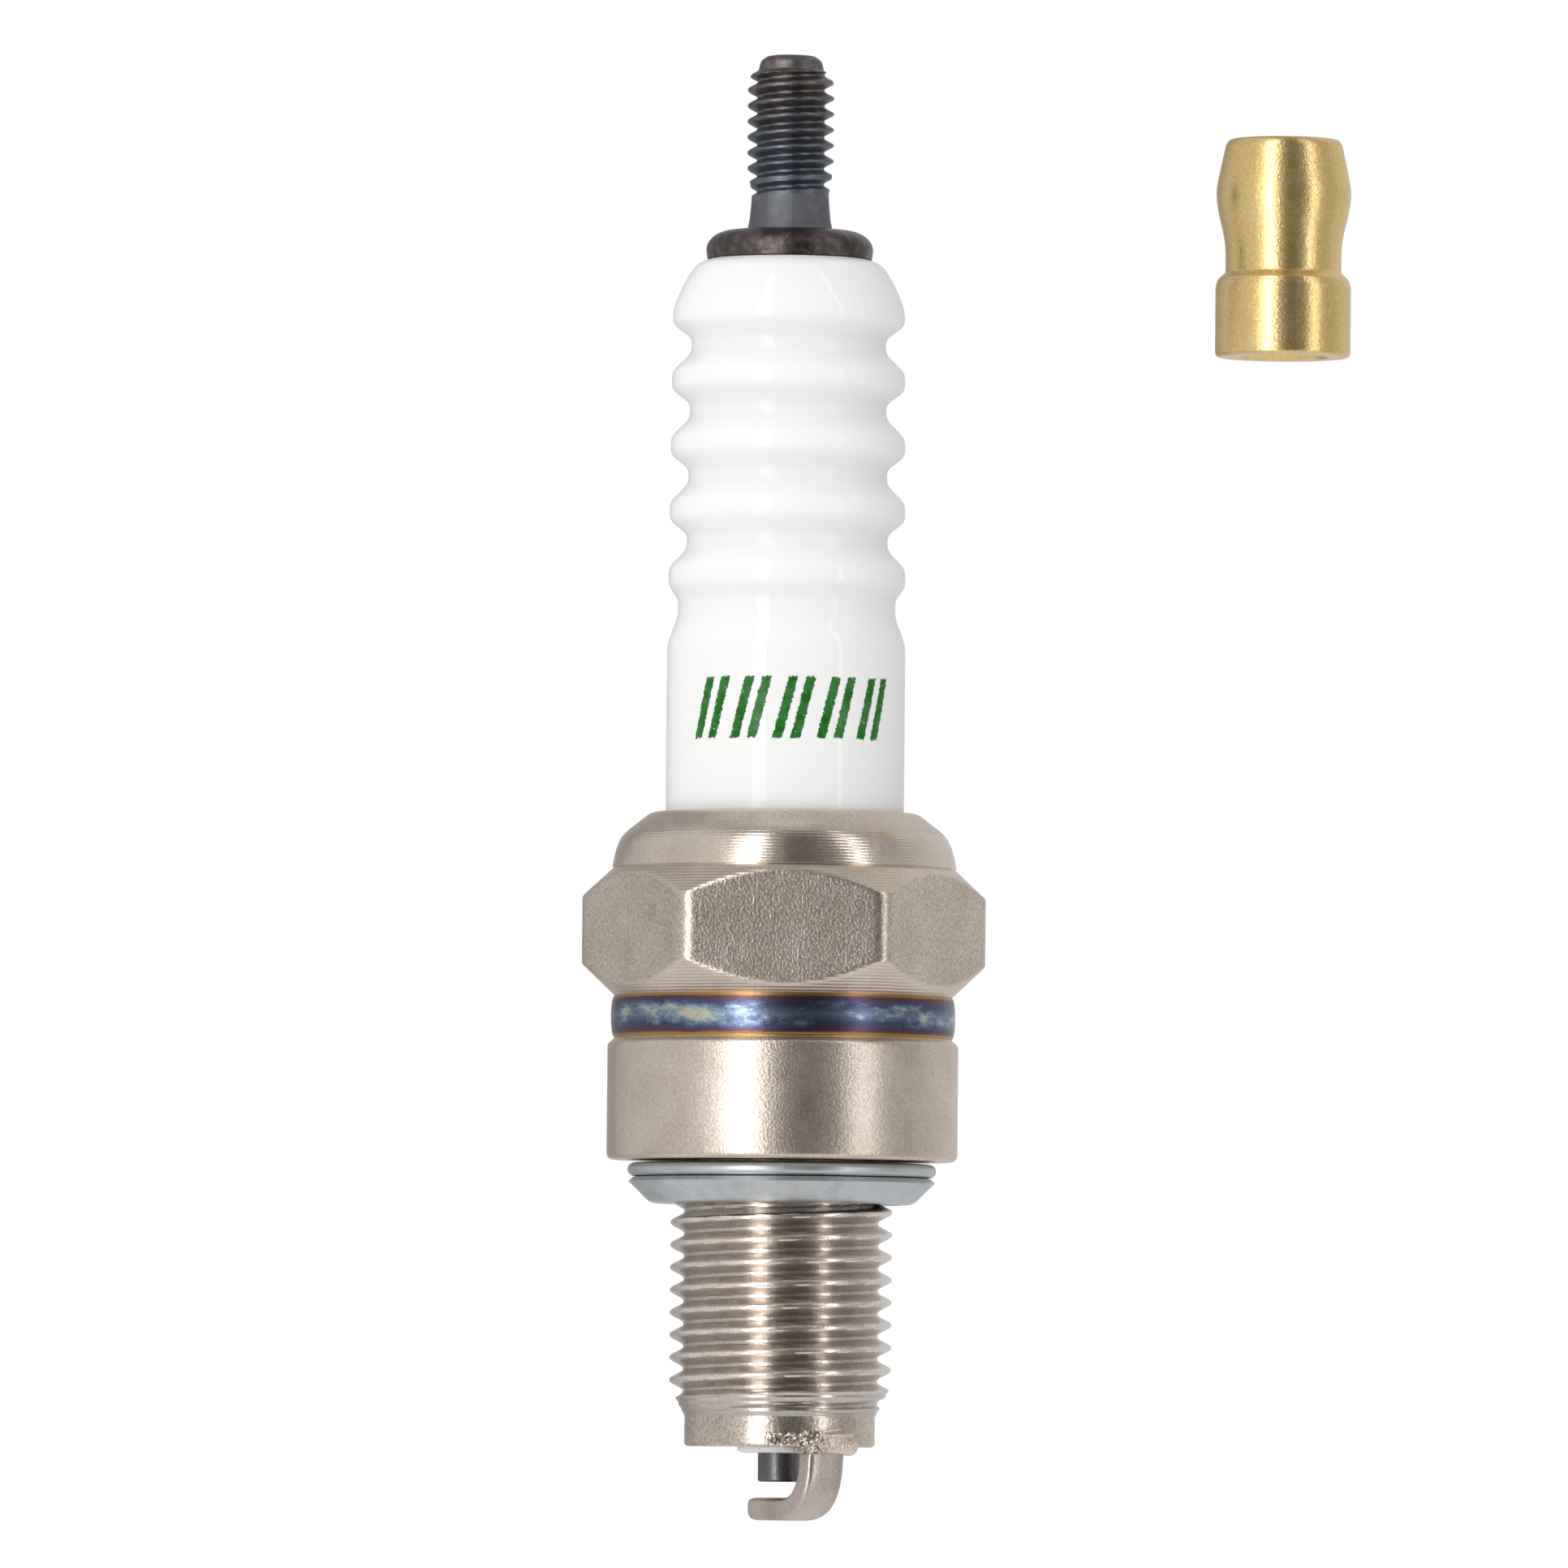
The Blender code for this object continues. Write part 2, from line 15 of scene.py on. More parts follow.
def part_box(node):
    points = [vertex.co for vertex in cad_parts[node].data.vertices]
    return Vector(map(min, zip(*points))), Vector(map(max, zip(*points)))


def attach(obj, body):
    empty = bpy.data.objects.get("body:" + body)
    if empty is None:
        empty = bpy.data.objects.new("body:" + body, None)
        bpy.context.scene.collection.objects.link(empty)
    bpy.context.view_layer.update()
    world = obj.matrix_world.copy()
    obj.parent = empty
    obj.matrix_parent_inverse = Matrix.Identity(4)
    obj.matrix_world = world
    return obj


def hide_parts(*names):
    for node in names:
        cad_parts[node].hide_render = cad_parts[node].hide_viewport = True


MM = 0.001

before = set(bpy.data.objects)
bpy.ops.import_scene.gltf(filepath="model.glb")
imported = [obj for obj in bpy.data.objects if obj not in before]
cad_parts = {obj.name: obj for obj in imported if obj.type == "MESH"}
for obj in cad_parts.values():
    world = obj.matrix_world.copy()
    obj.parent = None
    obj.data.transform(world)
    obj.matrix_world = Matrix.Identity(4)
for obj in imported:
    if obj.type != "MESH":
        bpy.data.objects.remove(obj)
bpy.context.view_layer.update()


def low(node):
    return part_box(node)[0] / MM


def high(node):
    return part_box(node)[1] / MM


# Heights and radii that the frame gives.
SHELL_END, SHELL_TOP = low("shell").z, high("shell").z
INSULATOR_TOP, NOSE_TIP = high("insulator").z, low("insulator").z
STUD_TOP, STUD_END = high("terminal_stud").z, low("terminal_stud").z
COLLAR_RADIUS = high("terminal_stud").x
ELECTRODE_TIP, ELECTRODE_TOP = low("centre_electrode").z, high("centre_electrode").z
STRAP_LOW = low("ground_electrode").z
GASKET_RADIUS, GASKET_TOP, GASKET_BASE = high("gasket").x, high("gasket").z, low("gasket").z
NUT_BASE, NUT_TOP = low("terminal_nut").z, high("terminal_nut").z
NUT_X = (low("terminal_nut").x + high("terminal_nut").x) / 2

# Shell.
SHELL_PITCH, CREST_RADIUS, ROOT_RADIUS = 1.0, 4.93, 4.32
GROOVE_START = -11.76  # height of the thread groove's middle where it crosses +X, low in the pilot
NECK_RADIUS, NECK_END, PILOT_RADIUS = 4.25, -1.6, 4.23
FADE_TOP, PILOT_TOP = -9.95, -11.35
BARREL_RADIUS, BARREL_TOP = 7.8, 5.15
BUCKLE_RADIUS, BUCKLE_LOW, BUCKLE_BULGE = 7.5, 5.44, 0.16
CHATTER_PITCH, CHATTER_DEPTH = 0.27, 0.022  # tool marks where the thread runs out
HEX_HALF_WIDTH, HEX_CORNER_RADIUS = 7.9, 8.97
HEX_BASE, HEX_LOW, HEX_HIGH, HEX_CAP = 7.3, 8.7, 11.71, 12.93
HEX_CAP_RADIUS, LIP_TOP = 7.66, 14.5
EDGE_SOFTNESS = 0.14
THREAD_BLEND, STUD_BLEND = 0.03, 0.02

# Insulator.
BODY_RADIUS, BODY_TOP = 5.3, 22.8
FIRST_GROOVE, GROOVE_PITCH, GROOVE_COUNT = 36.27, 2.915, 5
GROOVE_RADIUS, LAST_GROOVE_RADIUS = 4.32, 4.72
RIB_RADIUS, RIBS_TOP = 5.17, 37.6
NOSE_RADIUS, NOSE_BORE_RADIUS, BORE_RADIUS = 1.87, 1.02, 1.8

# Stud and terminal nut, whose own heights are from its base.
STUD_PITCH, STUD_CREST_RADIUS, STUD_ROOT_RADIUS, STUD_GROOVE_START = 0.7, 1.93, 1.5, 43.52
SHANK_TOP, COLLAR_TOP, COLLAR_BEND_RADIUS = 43.0, 41.45, 2.6
ROD_RADIUS = 1.74
NUT_CREST_RADIUS, NUT_ROOT_RADIUS, NUT_GROOVE_START, NUT_THREAD_TOP = 1.66, 2.0, 0.35, 6.5

# Gasket, folded from one sheet.
SHEET_HALF, FOLD_RADIUS = 0.14, 0.16

# Centre electrode.
TIP_RADIUS, CORE_RADIUS, HEAD_RADIUS, HEAD_BASE = 0.95, 0.5, 1.25, -1.65

# Strap, whose middle line leaves the shell, leans in at the knee and turns where leg and arm would meet.
STRAP_WIDTH, STRAP_THICKNESS = 1.95, 1.02
STRAP_FOOT_RADIUS, STRAP_REACH = 3.3, 1.13
STRAP_KNEE = (3.18, -13.8)
STRAP_CORNER_RADIUS, STRAP_BEND = 2.72, 1.45
STRAP_AZIMUTH = math.radians(-55)
STRAP_SIDES, STRAP_SQUARENESS = 64, 5.0  # points round its section, and how square that is
TIP_SIDE_RADIUS, TIP_UNDER_RADIUS, TIP_TOP_RADIUS = 0.18, 0.34, 0.16
BURR_SHARE, BURR_Z, BURR_LENGTH = 0.05, -14.3, 0.35  # its height is a share of the section's
SPATTER_COUNT = 170


# ---------------------------------------------------------------- outlines


def rounded(corners, steps=5):
    """Outline points from corners (r, z) or (r, z, cut), where a corner with a cut is rounded off."""
    points = []
    for i, corner in enumerate(corners):
        here = Vector(corner[:2])
        if len(corner) == 2 or i in (0, len(corners) - 1):
            points.append(tuple(here))
            continue
        before, after = Vector(corners[i - 1][:2]) - here, Vector(corners[i + 1][:2]) - here
        start = here + before.normalized() * min(corner[2], 0.49 * before.length)
        end = here + after.normalized() * min(corner[2], 0.49 * after.length)
        for k in range(steps + 1):
            t = k / steps
            points.append(tuple(start * (1 - t) ** 2 + here * 2 * t * (1 - t) + end * t**2))
    return points


def spaced(points, gap):
    """The outline with extra points, so that neighbours lie at most gap apart."""
    filled = [points[0]]
    for (r0, z0), (r1, z1) in zip(points, points[1:]):
        count = max(1, math.ceil(math.hypot(r1 - r0, z1 - z0) / gap))
        filled += [(r0 + (r1 - r0) * k / count, z0 + (z1 - z0) * k / count) for k in range(1, count + 1)]
    return filled


def arc(centre_r, centre_z, radius, start, end, count, height=None):
    """count + 1 points on a circle or an ellipse, between two angles in degrees."""
    height = height or radius
    angles = [math.radians(start + (end - start) * i / count) for i in range(count + 1)]
    return [(centre_r + radius * math.cos(a), centre_z + height * math.sin(a)) for a in angles]


def thickened(line, half):
    """The closed outline of a sheet whose middle is line, running down its outer side."""
    line = np.array(line)
    along = np.gradient(line, axis=0)
    along /= np.linalg.norm(along, axis=1)[:, None]
    across = np.stack([-along[:, 1], along[:, 0]], 1) * half
    return [tuple(p) for p in line + across] + [tuple(p) for p in (line - across)[::-1]]


def smoothstep(x):
    x = np.clip(x, 0, 1)
    return x * x * (3 - 2 * x)


def soft_min(a, b, width):
    """The smaller of a and b, blended where they are within width of each other."""
    share = np.clip(0.5 + 0.5 * (b - a) / width, 0, 1)
    return b * (1 - share) + a * share - width * share * (1 - share)


def thread_radius(z, angle, pitch, start, root, crest):
    """Radius of a right-hand thread whose groove crosses +X at start. Its flanks stand at 60 degrees and are
    rounded at both ends."""
    turn = (z - start) / pitch - angle / (2 * math.pi)
    from_groove = np.abs(turn - np.round(turn))
    climb = np.clip((from_groove - 0.07) / 0.37, 0, 1)
    return root + (crest - root) * (0.55 * climb + 0.45 * smoothstep(climb))


# ---------------------------------------------------------------- meshes


def even_angles(count):
    return np.arange(count) * 2 * math.pi / count


def hexagon_angles():
    """Angles round the shell, packed near the hexagon's six corners."""
    turn, reach = 60, 4.5  # degrees from corner to corner, and how far the packing reaches to each side
    near = np.linspace(-reach, reach, 20, endpoint=False)
    between = np.linspace(reach, turn - reach, 28, endpoint=False)
    sector = np.concatenate([near, between])
    return np.radians(np.concatenate([sector + turn * k for k in range(6)]))


def add_mesh(name, vertices_mm, faces, materials, at=(0, 0, 0), zones=None):
    mesh = bpy.data.meshes.new(name)
    mesh.from_pydata((np.asarray(vertices_mm) * MM).tolist(), [], faces)
    mesh.shade_smooth()
    for found in materials:
        mesh.materials.append(found)
    if zones is not None:
        mesh.polygons.foreach_set("material_index", np.asarray(zones, np.int32))
    obj = bpy.data.objects.new(name, mesh)
    obj.location = Vector(at) * MM
    bpy.context.scene.collection.objects.link(obj)
    return obj


def lathe(name, outline, angles, materials, shape=None, zone=None, at=(0, 0, 0), sharp=35):
    """Turns an outline, which runs down the outer side. shape(r, z, angle) gives new r and z, and zone(r, z)
    says which material a row of faces takes. An outline that starts off the axis is a closed ring."""
    ring = outline[0][0] > 0
    rows, columns = len(outline), len(angles)
    r, z = (np.repeat(np.array(c)[:, None], columns, 1) for c in zip(*outline))
    angle = np.repeat(angles[None, :], rows, 0)
    if shape:
        r, z = shape(r, z, angle)
    vertices = np.stack([r * np.cos(angle), r * np.sin(angle), z], -1).reshape(-1, 3)
    last = rows if ring else rows - 1
    i, j = np.meshgrid(np.arange(last), np.arange(columns), indexing="ij")
    below, beside = (i + 1) % rows, (j + 1) % columns
    corners = [i * columns + j, below * columns + j, below * columns + beside, i * columns + beside]
    faces = np.stack(corners, -1).reshape(-1, 4).tolist()
    zones = None
    if zone:
        middle_r, middle_z = (np.array([a, b]).mean(0) for a, b in zip_rows(outline, last))
        zones = np.repeat([zone(*m) for m in zip(middle_r, middle_z)], columns)
    obj = add_mesh(name, vertices, faces, materials, at, zones)
    tidy(obj, sharp)
    return obj


def zip_rows(outline, last):
    """For r and then for z: the values at each row's upper and lower edge."""
    for values in zip(*outline):
        upper = np.array(values)[:last]
        yield upper, np.roll(np.array(values), -1)[:last]


def tidy(obj, sharp):
    """Merges points that coincide on the axis, and marks the edges that are to look sharp."""
    data = bmesh.new()
    data.from_mesh(obj.data)
    bmesh.ops.remove_doubles(data, verts=data.verts, dist=1e-8)
    data.to_mesh(obj.data)
    data.free()
    obj.data.set_sharp_from_angle(angle=math.radians(sharp))


def place(obj, body, slot, *nodes):
    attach(obj, body)
    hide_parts(*nodes)


# ---------------------------------------------------------------- materials


class Nodes:
    """A material's node tree, with short calls for the nodes used here."""

    def __init__(self, name):
        self.material = bpy.data.materials.new(name)
        self.material.use_nodes = True
        self.tree = self.material.node_tree
        self.shader = self.tree.nodes["Principled BSDF"]
        self.point = self.add("ShaderNodeTexCoord").outputs["Object"]

    def add(self, kind, inputs=None, **settings):
        node = self.tree.nodes.new(kind)
        for key, value in settings.items():
            setattr(node, key, value)
        for key, value in (inputs or {}).items():
            self.put(node.inputs[key], value)
        return node

    def put(self, socket, value):
        if isinstance(value, bpy.types.NodeSocket):
            self.tree.links.new(value, socket)
        else:
            socket.default_value = value

    def math(self, operation, first, second=0.0, third=0.0):
        node = self.add("ShaderNodeMath", {0: first, 1: second, 2: third}, operation=operation)
        return node.outputs[0]

    def noise(self, size_mm, detail=2.0, roughness=0.5, stretch=None):
        """Noise between 0 and 1 whose blobs are about size_mm across; stretch scales the three axes."""
        point = self.point
        if stretch:
            point = self.add("ShaderNodeMapping", {"Vector": point, "Scale": stretch}).outputs["Vector"]
        inputs = {"Vector": point, "Scale": 1 / (size_mm * MM), "Detail": detail, "Roughness": roughness}
        return self.add("ShaderNodeTexNoise", inputs).outputs["Fac"]

    def ramp(self, value, stops, ease="LINEAR"):
        """A colour ramp with stops of (position, colour), where a single number is a grey."""
        node = self.add("ShaderNodeValToRGB", {"Fac": value})
        ramp = node.color_ramp
        ramp.interpolation = ease
        ramp.elements.remove(ramp.elements[1])
        ramp.elements[0].position = stops[0][0]
        for i, (position, colour) in enumerate(stops):
            element = ramp.elements.new(position) if i else ramp.elements[0]
            element.color = (*colour, 1) if isinstance(colour, tuple) else (colour, colour, colour, 1)
        return node.outputs["Color"]

    def mix(self, share, first, second):
        node = self.add("ShaderNodeMix", data_type="RGBA")
        self.put(node.inputs[0], share)
        self.put(node.inputs[6], (*first, 1) if isinstance(first, tuple) else first)
        self.put(node.inputs[7], (*second, 1) if isinstance(second, tuple) else second)
        return node.outputs[2]

    def share(self, value, start, end):
        """0 where the value is at start, 1 where it is at end, and no more or less beyond them."""
        inputs = {"Value": value, "From Min": start, "From Max": end}
        return self.add("ShaderNodeMapRange", inputs).outputs["Result"]

    def between(self, value, low_end, high_end):
        """1 where the value lies between the two, and 0 elsewhere."""
        above = self.math("GREATER_THAN", value, low_end)
        return self.math("MULTIPLY", above, self.math("LESS_THAN", value, high_end))

    def drift(self, size_mm, spread, least):
        """A value that wanders upwards from least by up to spread, in patches about size_mm across."""
        return self.math("MULTIPLY_ADD", self.noise(size_mm), spread, least)

    def axis(self, name):
        return self.add("ShaderNodeSeparateXYZ", {"Vector": self.point}).outputs[name]

    def bump(self, height, depth_mm, normal=None):
        inputs = {"Height": height, "Distance": depth_mm * MM, "Strength": 1.0}
        if normal:
            inputs["Normal"] = normal
        return self.add("ShaderNodeBump", inputs).outputs["Normal"]

    def finish(self, color, roughness, metallic, normal=None, **uniform):
        self.put(self.shader.inputs["Base Color"], color)
        self.put(self.shader.inputs["Roughness"], roughness)
        self.shader.inputs["Metallic"].default_value = metallic
        if normal:
            self.put(self.shader.inputs["Normal"], normal)
        for key, value in uniform.items():
            self.shader.inputs[key.replace("_", " ")].default_value = value
        return self.material


NICKEL_LIGHT, NICKEL_DARK = (0.80, 0.695, 0.60), (0.70, 0.60, 0.505)
# The thread's crest colour, and the painted shade for down in its grooves.
THREAD_LIGHT, THREAD_GROOVE_SHADE = (0.88, 0.80, 0.73), (0.62, 0.56, 0.51)
STRAP_LIGHT, STRAP_DARK = (0.66, 0.575, 0.52), (0.55, 0.475, 0.43)
LATHE_LINE_PITCH = 0.135


def nickel(
    name,
    grain_mm=0.12,
    grain_depth=0.016,
    speckle=0.2,
    roughness=0.29,
    turned=False,
    scratched=False,
    tints=(NICKEL_LIGHT, NICKEL_DARK),
):
    """Nickel plate with a fine grain in its relief and, by speckle, in its brightness. turned adds lathe lines
    round it, and scratched adds upright marks."""
    m = Nodes(name)
    normal = grained(m, grain_mm, grain_depth)
    if turned:
        wobble = m.math("MULTIPLY", m.noise(1.4), 0.05 * MM)
        height = m.math("ADD", m.axis("Z"), wobble)
        wave = m.math("SINE", m.math("MULTIPLY", height, 2 * math.pi / (LATHE_LINE_PITCH * MM)))
        normal = m.bump(wave, 0.004, normal=normal)
    if scratched:
        marks = m.ramp(m.noise(0.16, 2.0, stretch=(1.0, 1.0, 0.08)), [(0.64, 0.0), (0.74, 1.0)])
        normal = m.bump(marks, 0.003, normal=normal)
    patches = m.noise(2.2, 3.0)
    color = m.mix(m.ramp(patches, [(0.35, 0.0), (0.65, 1.0)]), *tints)
    rough = m.drift(0.5, 0.08, roughness - 0.03)
    return m.finish(speckled(m, color, grain_mm, speckle), rough, 1.0, normal)


def grained(m, grain_mm, depth_mm):
    return m.bump(m.noise(grain_mm, 3.0, roughness=0.6), depth_mm)


def speckled(m, color, size_mm, strength):
    """The colour with fine specks, darker by up to the given share."""
    specks = m.ramp(m.noise(size_mm, 2.0, roughness=0.6), [(0.36, 1 - strength), (0.64, 1.0)])
    node = m.add("ShaderNodeMix", data_type="RGBA", blend_type="MULTIPLY")
    for socket, value in zip((0, 6, 7), (1.0, color, specks)):
        m.put(node.inputs[socket], value)
    return node.outputs[2]


def thread_nickel():
    """Nickel on the thread, with painted shade that darkens it down in its grooves."""
    m = Nodes("nickel_thread")
    level = m.add("ShaderNodeVectorMath", {0: m.point, 1: (1, 1, 0)}, operation="MULTIPLY").outputs["Vector"]
    from_axis = m.add("ShaderNodeVectorMath", {0: level}, operation="LENGTH").outputs["Value"]
    up_flank = m.share(m.math("DIVIDE", from_axis, MM), ROOT_RADIUS + 0.03, CREST_RADIUS - 0.01)
    # The ramp paints shade down the flanks into the grooves, darkest at the root.
    color = m.mix(m.ramp(up_flank, [(0.0, 0.0), (0.6, 0.3), (1.0, 1.0)]), THREAD_GROOVE_SHADE, THREAD_LIGHT)
    return m.finish(speckled(m, color, 0.13, 0.16), m.drift(0.5, 0.06, 0.2), 1.0, grained(m, 0.13, 0.005))


def temper_colours():
    """The buckled ring, oxidised by the heat of crimping: gold at its edges, then purple, blue and pale."""
    m = Nodes("tempered_nickel")
    middle, half = (HEX_BASE + BUCKLE_LOW) / 2 * MM, (HEX_BASE - BUCKLE_LOW) / 2 * MM
    from_middle = m.math("ABSOLUTE", m.math("SUBTRACT", m.axis("Z"), middle))
    inward = m.math("SUBTRACT", 1.0, m.math("DIVIDE", from_middle, half))
    ragged = m.noise(2.0, 6.0, roughness=0.72, stretch=(0.7, 0.7, 1.6))
    cloud = m.math("MAXIMUM", m.math("MULTIPLY_ADD", ragged, 3.4, -1.64), -0.12)
    off_edge = m.math("MINIMUM", m.math("POWER", m.math("MULTIPLY", inward, 1.7), 2.0), 1.0)
    depth = m.math("MULTIPLY_ADD", inward, 0.62, m.math("MULTIPLY", cloud, off_edge))
    stops = [
        (0.0, (0.62, 0.42, 0.18)),
        (0.06, (0.40, 0.20, 0.08)),
        (0.12, (0.13, 0.06, 0.07)),
        (0.24, (0.08, 0.08, 0.16)),
        (0.42, (0.13, 0.17, 0.27)),
        (0.6, (0.24, 0.32, 0.40)),
        (0.76, (0.40, 0.48, 0.50)),
        (0.88, (0.60, 0.56, 0.35)),
        (1.0, (0.56, 0.56, 0.48)),
    ]
    normal = m.bump(m.noise(0.1, 2.0, roughness=0.6), 0.005)
    return m.finish(m.ramp(depth, stops), 0.285, 1.0, normal)


def zinc():
    """Zinc plate, grey with a little blue and green in patches."""
    m = Nodes("zinc_plate")
    normal = m.bump(m.noise(0.1, 2.0, roughness=0.6), 0.008)
    stops = [(0.3, (0.50, 0.54, 0.57)), (0.55, (0.60, 0.62, 0.63)), (0.75, (0.45, 0.53, 0.56))]
    return m.finish(m.ramp(m.noise(1.1, 3.0), stops), m.drift(0.6, 0.16, 0.3), 1.0, normal)


def black_steel(name, roughness, tint, grain_depth, blued=False):
    """Black oxide over steel; blued turns its tint bluer towards the foot of the thread."""
    m = Nodes(name)
    normal = m.bump(m.noise(0.09, 3.0, roughness=0.65), grain_depth)
    dark, light = tint
    color = m.mix(m.ramp(m.noise(0.5, 4.0), [(0.4, 0.0), (0.7, 1.0)]), dark, light)
    if blued:
        height = m.math("MULTIPLY_ADD", m.noise(1.2, 2.0), 1.6 * MM, m.axis("Z"))
        color = m.mix(m.share(height, 48.2 * MM, 45.6 * MM), color, (0.15, 0.17, 0.2))
    return m.finish(color, m.drift(0.3, 0.16, roughness - 0.08), 1.0, normal)


def brass():
    """Brass with fine lathe lines and a grain over them."""
    m = Nodes("turned_brass_surface")
    lines = m.noise(0.06, 2.0, stretch=(0.15, 0.15, 1.0))
    normal = m.bump(lines, 0.0015, normal=grained(m, 0.12, 0.012))
    color = m.mix(m.noise(1.5, 3.0), (0.97, 0.71, 0.33), (0.90, 0.63, 0.26))
    return m.finish(speckled(m, color, 0.12, 0.18), m.drift(0.4, 0.05, 0.245), 1.0, normal)


MARK_LEFT, MARK_RIGHT = -4.9, 4.95  # round the body from the front
MARK_LOW, MARK_HIGH, MARK_SLANT = 18.62, 21.34, 0.26
MARK_PAIRS, BAR_WIDTH, BAR_STEP = 5, 0.44, 0.8  # BAR_STEP is from bar to bar in a pair


def glaze():
    """White glaze with a plain green mark: pairs of slanted bars, a little ragged at their edges."""
    m = Nodes("white_glaze")
    wander = 0.34
    ragged = m.math("MULTIPLY_ADD", m.noise(0.13, 3.0, roughness=0.7), wander, -wander / 2)
    angle = m.math("ARCTAN2", m.axis("X"), m.math("MULTIPLY", m.axis("Y"), -1.0))
    around = m.math("ADD", m.math("MULTIPLY", angle, BODY_RADIUS), ragged)
    height = m.math("ADD", m.math("DIVIDE", m.axis("Z"), MM), ragged)
    slant = m.math("MULTIPLY", m.math("SUBTRACT", height, MARK_LOW), MARK_SLANT)
    pitch = (MARK_RIGHT - MARK_LEFT) / MARK_PAIRS
    along_row = m.math("DIVIDE", m.math("SUBTRACT", m.math("SUBTRACT", around, slant), MARK_LEFT), pitch)
    from_pair = m.math("ABSOLUTE", m.math("SUBTRACT", m.math("FRACT", along_row), 0.5))
    off_bar = m.math("ABSOLUTE", m.math("SUBTRACT", from_pair, BAR_STEP / 2 / pitch))
    in_bar = m.math("LESS_THAN", off_bar, BAR_WIDTH / 2 / pitch)
    in_row = m.between(along_row, 0.0, MARK_PAIRS)
    in_height = m.between(height, MARK_LOW, MARK_HIGH)
    solid = m.math("LESS_THAN", m.noise(0.1, 2.0, roughness=0.6), 0.7)
    ink = m.math("MULTIPLY", m.math("MULTIPLY", in_bar, solid), m.math("MULTIPLY", in_row, in_height))
    white = m.mix(m.noise(6.0), (0.91, 0.91, 0.905), (0.895, 0.895, 0.89))
    worn = m.ramp(m.noise(0.6, 3.0), [(0.4, 0.0), (0.62, 1.0)])
    color = m.mix(ink, white, m.mix(worn, (0.012, 0.15, 0.01), (0.04, 0.2, 0.045)))
    normal = m.bump(m.noise(0.45, 2.0), 0.0012, normal=m.bump(m.noise(1.6, 2.0), 0.005))
    m.shader.inputs["Subsurface Radius"].default_value = (1.0, 1.0, 1.0)
    rough = m.math("MULTIPLY_ADD", ink, 0.15, 0.06)
    depth = {"Subsurface_Weight": 0.4, "Subsurface_Scale": 1.2 * MM}
    return m.finish(color, rough, 0.0, normal, IOR=1.5, Specular_IOR_Level=0.15, **depth)


def electrode_alloy():
    """Dark nickel alloy, drawn lengthwise."""
    m = Nodes("dark_nickel_alloy")
    normal = m.bump(m.noise(0.07, 3.0, roughness=0.65, stretch=(1.0, 1.0, 0.4)), 0.004)
    color = m.mix(m.noise(0.5, 3.0), (0.15, 0.15, 0.16), (0.22, 0.21, 0.21))
    return m.finish(speckled(m, color, 0.1, 0.3), 0.36, 1.0, normal)


def weld_metal():
    """Bright where the bead ran smooth, with painted shade between the crinkles towards its -X side."""
    m = Nodes("weld_metal")
    # Painted shade: the dark colour fills the crinkles, and fades out towards +X.
    crinkle_shade = m.ramp(m.noise(0.15, 3.0, roughness=0.6), [(0.42, 1.0), (0.56, 0.0)])
    dark = m.math("MULTIPLY", crinkle_shade, m.share(m.axis("X"), 2.4 * MM, 1.7 * MM))
    color = m.mix(dark, NICKEL_LIGHT, (0.2, 0.16, 0.14))
    return m.finish(color, m.drift(0.3, 0.08, 0.255), 1.0, grained(m, 0.12, 0.01))


def plain(name, first, second, roughness, metallic, grain_mm):
    """A grained surface that drifts between two colours."""
    m = Nodes(name)
    normal = m.bump(m.noise(grain_mm, 3.0, roughness=0.6), grain_mm * 0.1)
    color = m.mix(m.noise(grain_mm * 4, 3.0), first, second)
    return m.finish(color, roughness, metallic, normal)


# ---------------------------------------------------------------- shell


def shell_outline():
    """From the crimped lip down the outside to the firing end, then the bore back up."""
    lip = rounded(
        [
            (BODY_RADIUS + 0.06, SHELL_TOP - 0.3),
            (BODY_RADIUS + 0.2, SHELL_TOP - 0.02, 0.12),
            (5.95, SHELL_TOP - 0.04, 0.25),
            (7.25, 14.44, 0.5),
            (7.52, 13.75, 0.4),
            (HEX_CAP_RADIUS, HEX_CAP + 0.1, 0.03),
            (HEX_CAP_RADIUS - 0.07, HEX_CAP + 0.03, 0.02),
            (HEX_CAP_RADIUS, HEX_CAP),
        ]
    )
    side = [(HEX_CORNER_RADIUS, HEX_HIGH, 0.12), (HEX_CORNER_RADIUS, HEX_LOW, 0.12)]
    hexagon = rounded([lip[-1], *side, (BUCKLE_RADIUS, HEX_BASE)])[1:]
    middle, half = (HEX_BASE + BUCKLE_LOW) / 2, (HEX_BASE - BUCKLE_LOW) / 2
    buckle = arc(BUCKLE_RADIUS, middle, BUCKLE_BULGE, 90, -90, 20, half)
    barrel = rounded(
        [
            buckle[-1],
            (BUCKLE_RADIUS + 0.03, BUCKLE_LOW - 0.06, 0.03),
            (BARREL_RADIUS, BARREL_TOP, 0.12),
            (BARREL_RADIUS, 0, 0.34),
            (NECK_RADIUS, 0, 0.15),
            (NECK_RADIUS, NECK_END),
        ],
        7,
    )[1:]
    thread = [(CREST_RADIUS, NECK_END - 0.5), (CREST_RADIUS, FADE_TOP), (PILOT_RADIUS, PILOT_TOP)]
    pilot = rounded([thread[-1], (PILOT_RADIUS, SHELL_END, 0.2), (3.0, SHELL_END, 0.1), (3.0, -5.3)])[1:]
    bore = [(2.75, -5.0), (2.75, -4.4), (3.3, -3.85), (3.3, 3.2), (6.05, 6.2), (6.05, 14.6), (5.35, 14.75)]
    fine, coarse = 0.06, 0.25
    outer = spaced([*lip, *hexagon], fine) + spaced(buckle, fine)[1:]
    outer += spaced([buckle[-1], *barrel], coarse)[1:]
    outer += spaced([barrel[-1], *thread], fine)[1:] + spaced([thread[-1], *pilot], coarse)[1:]
    return outer + bore


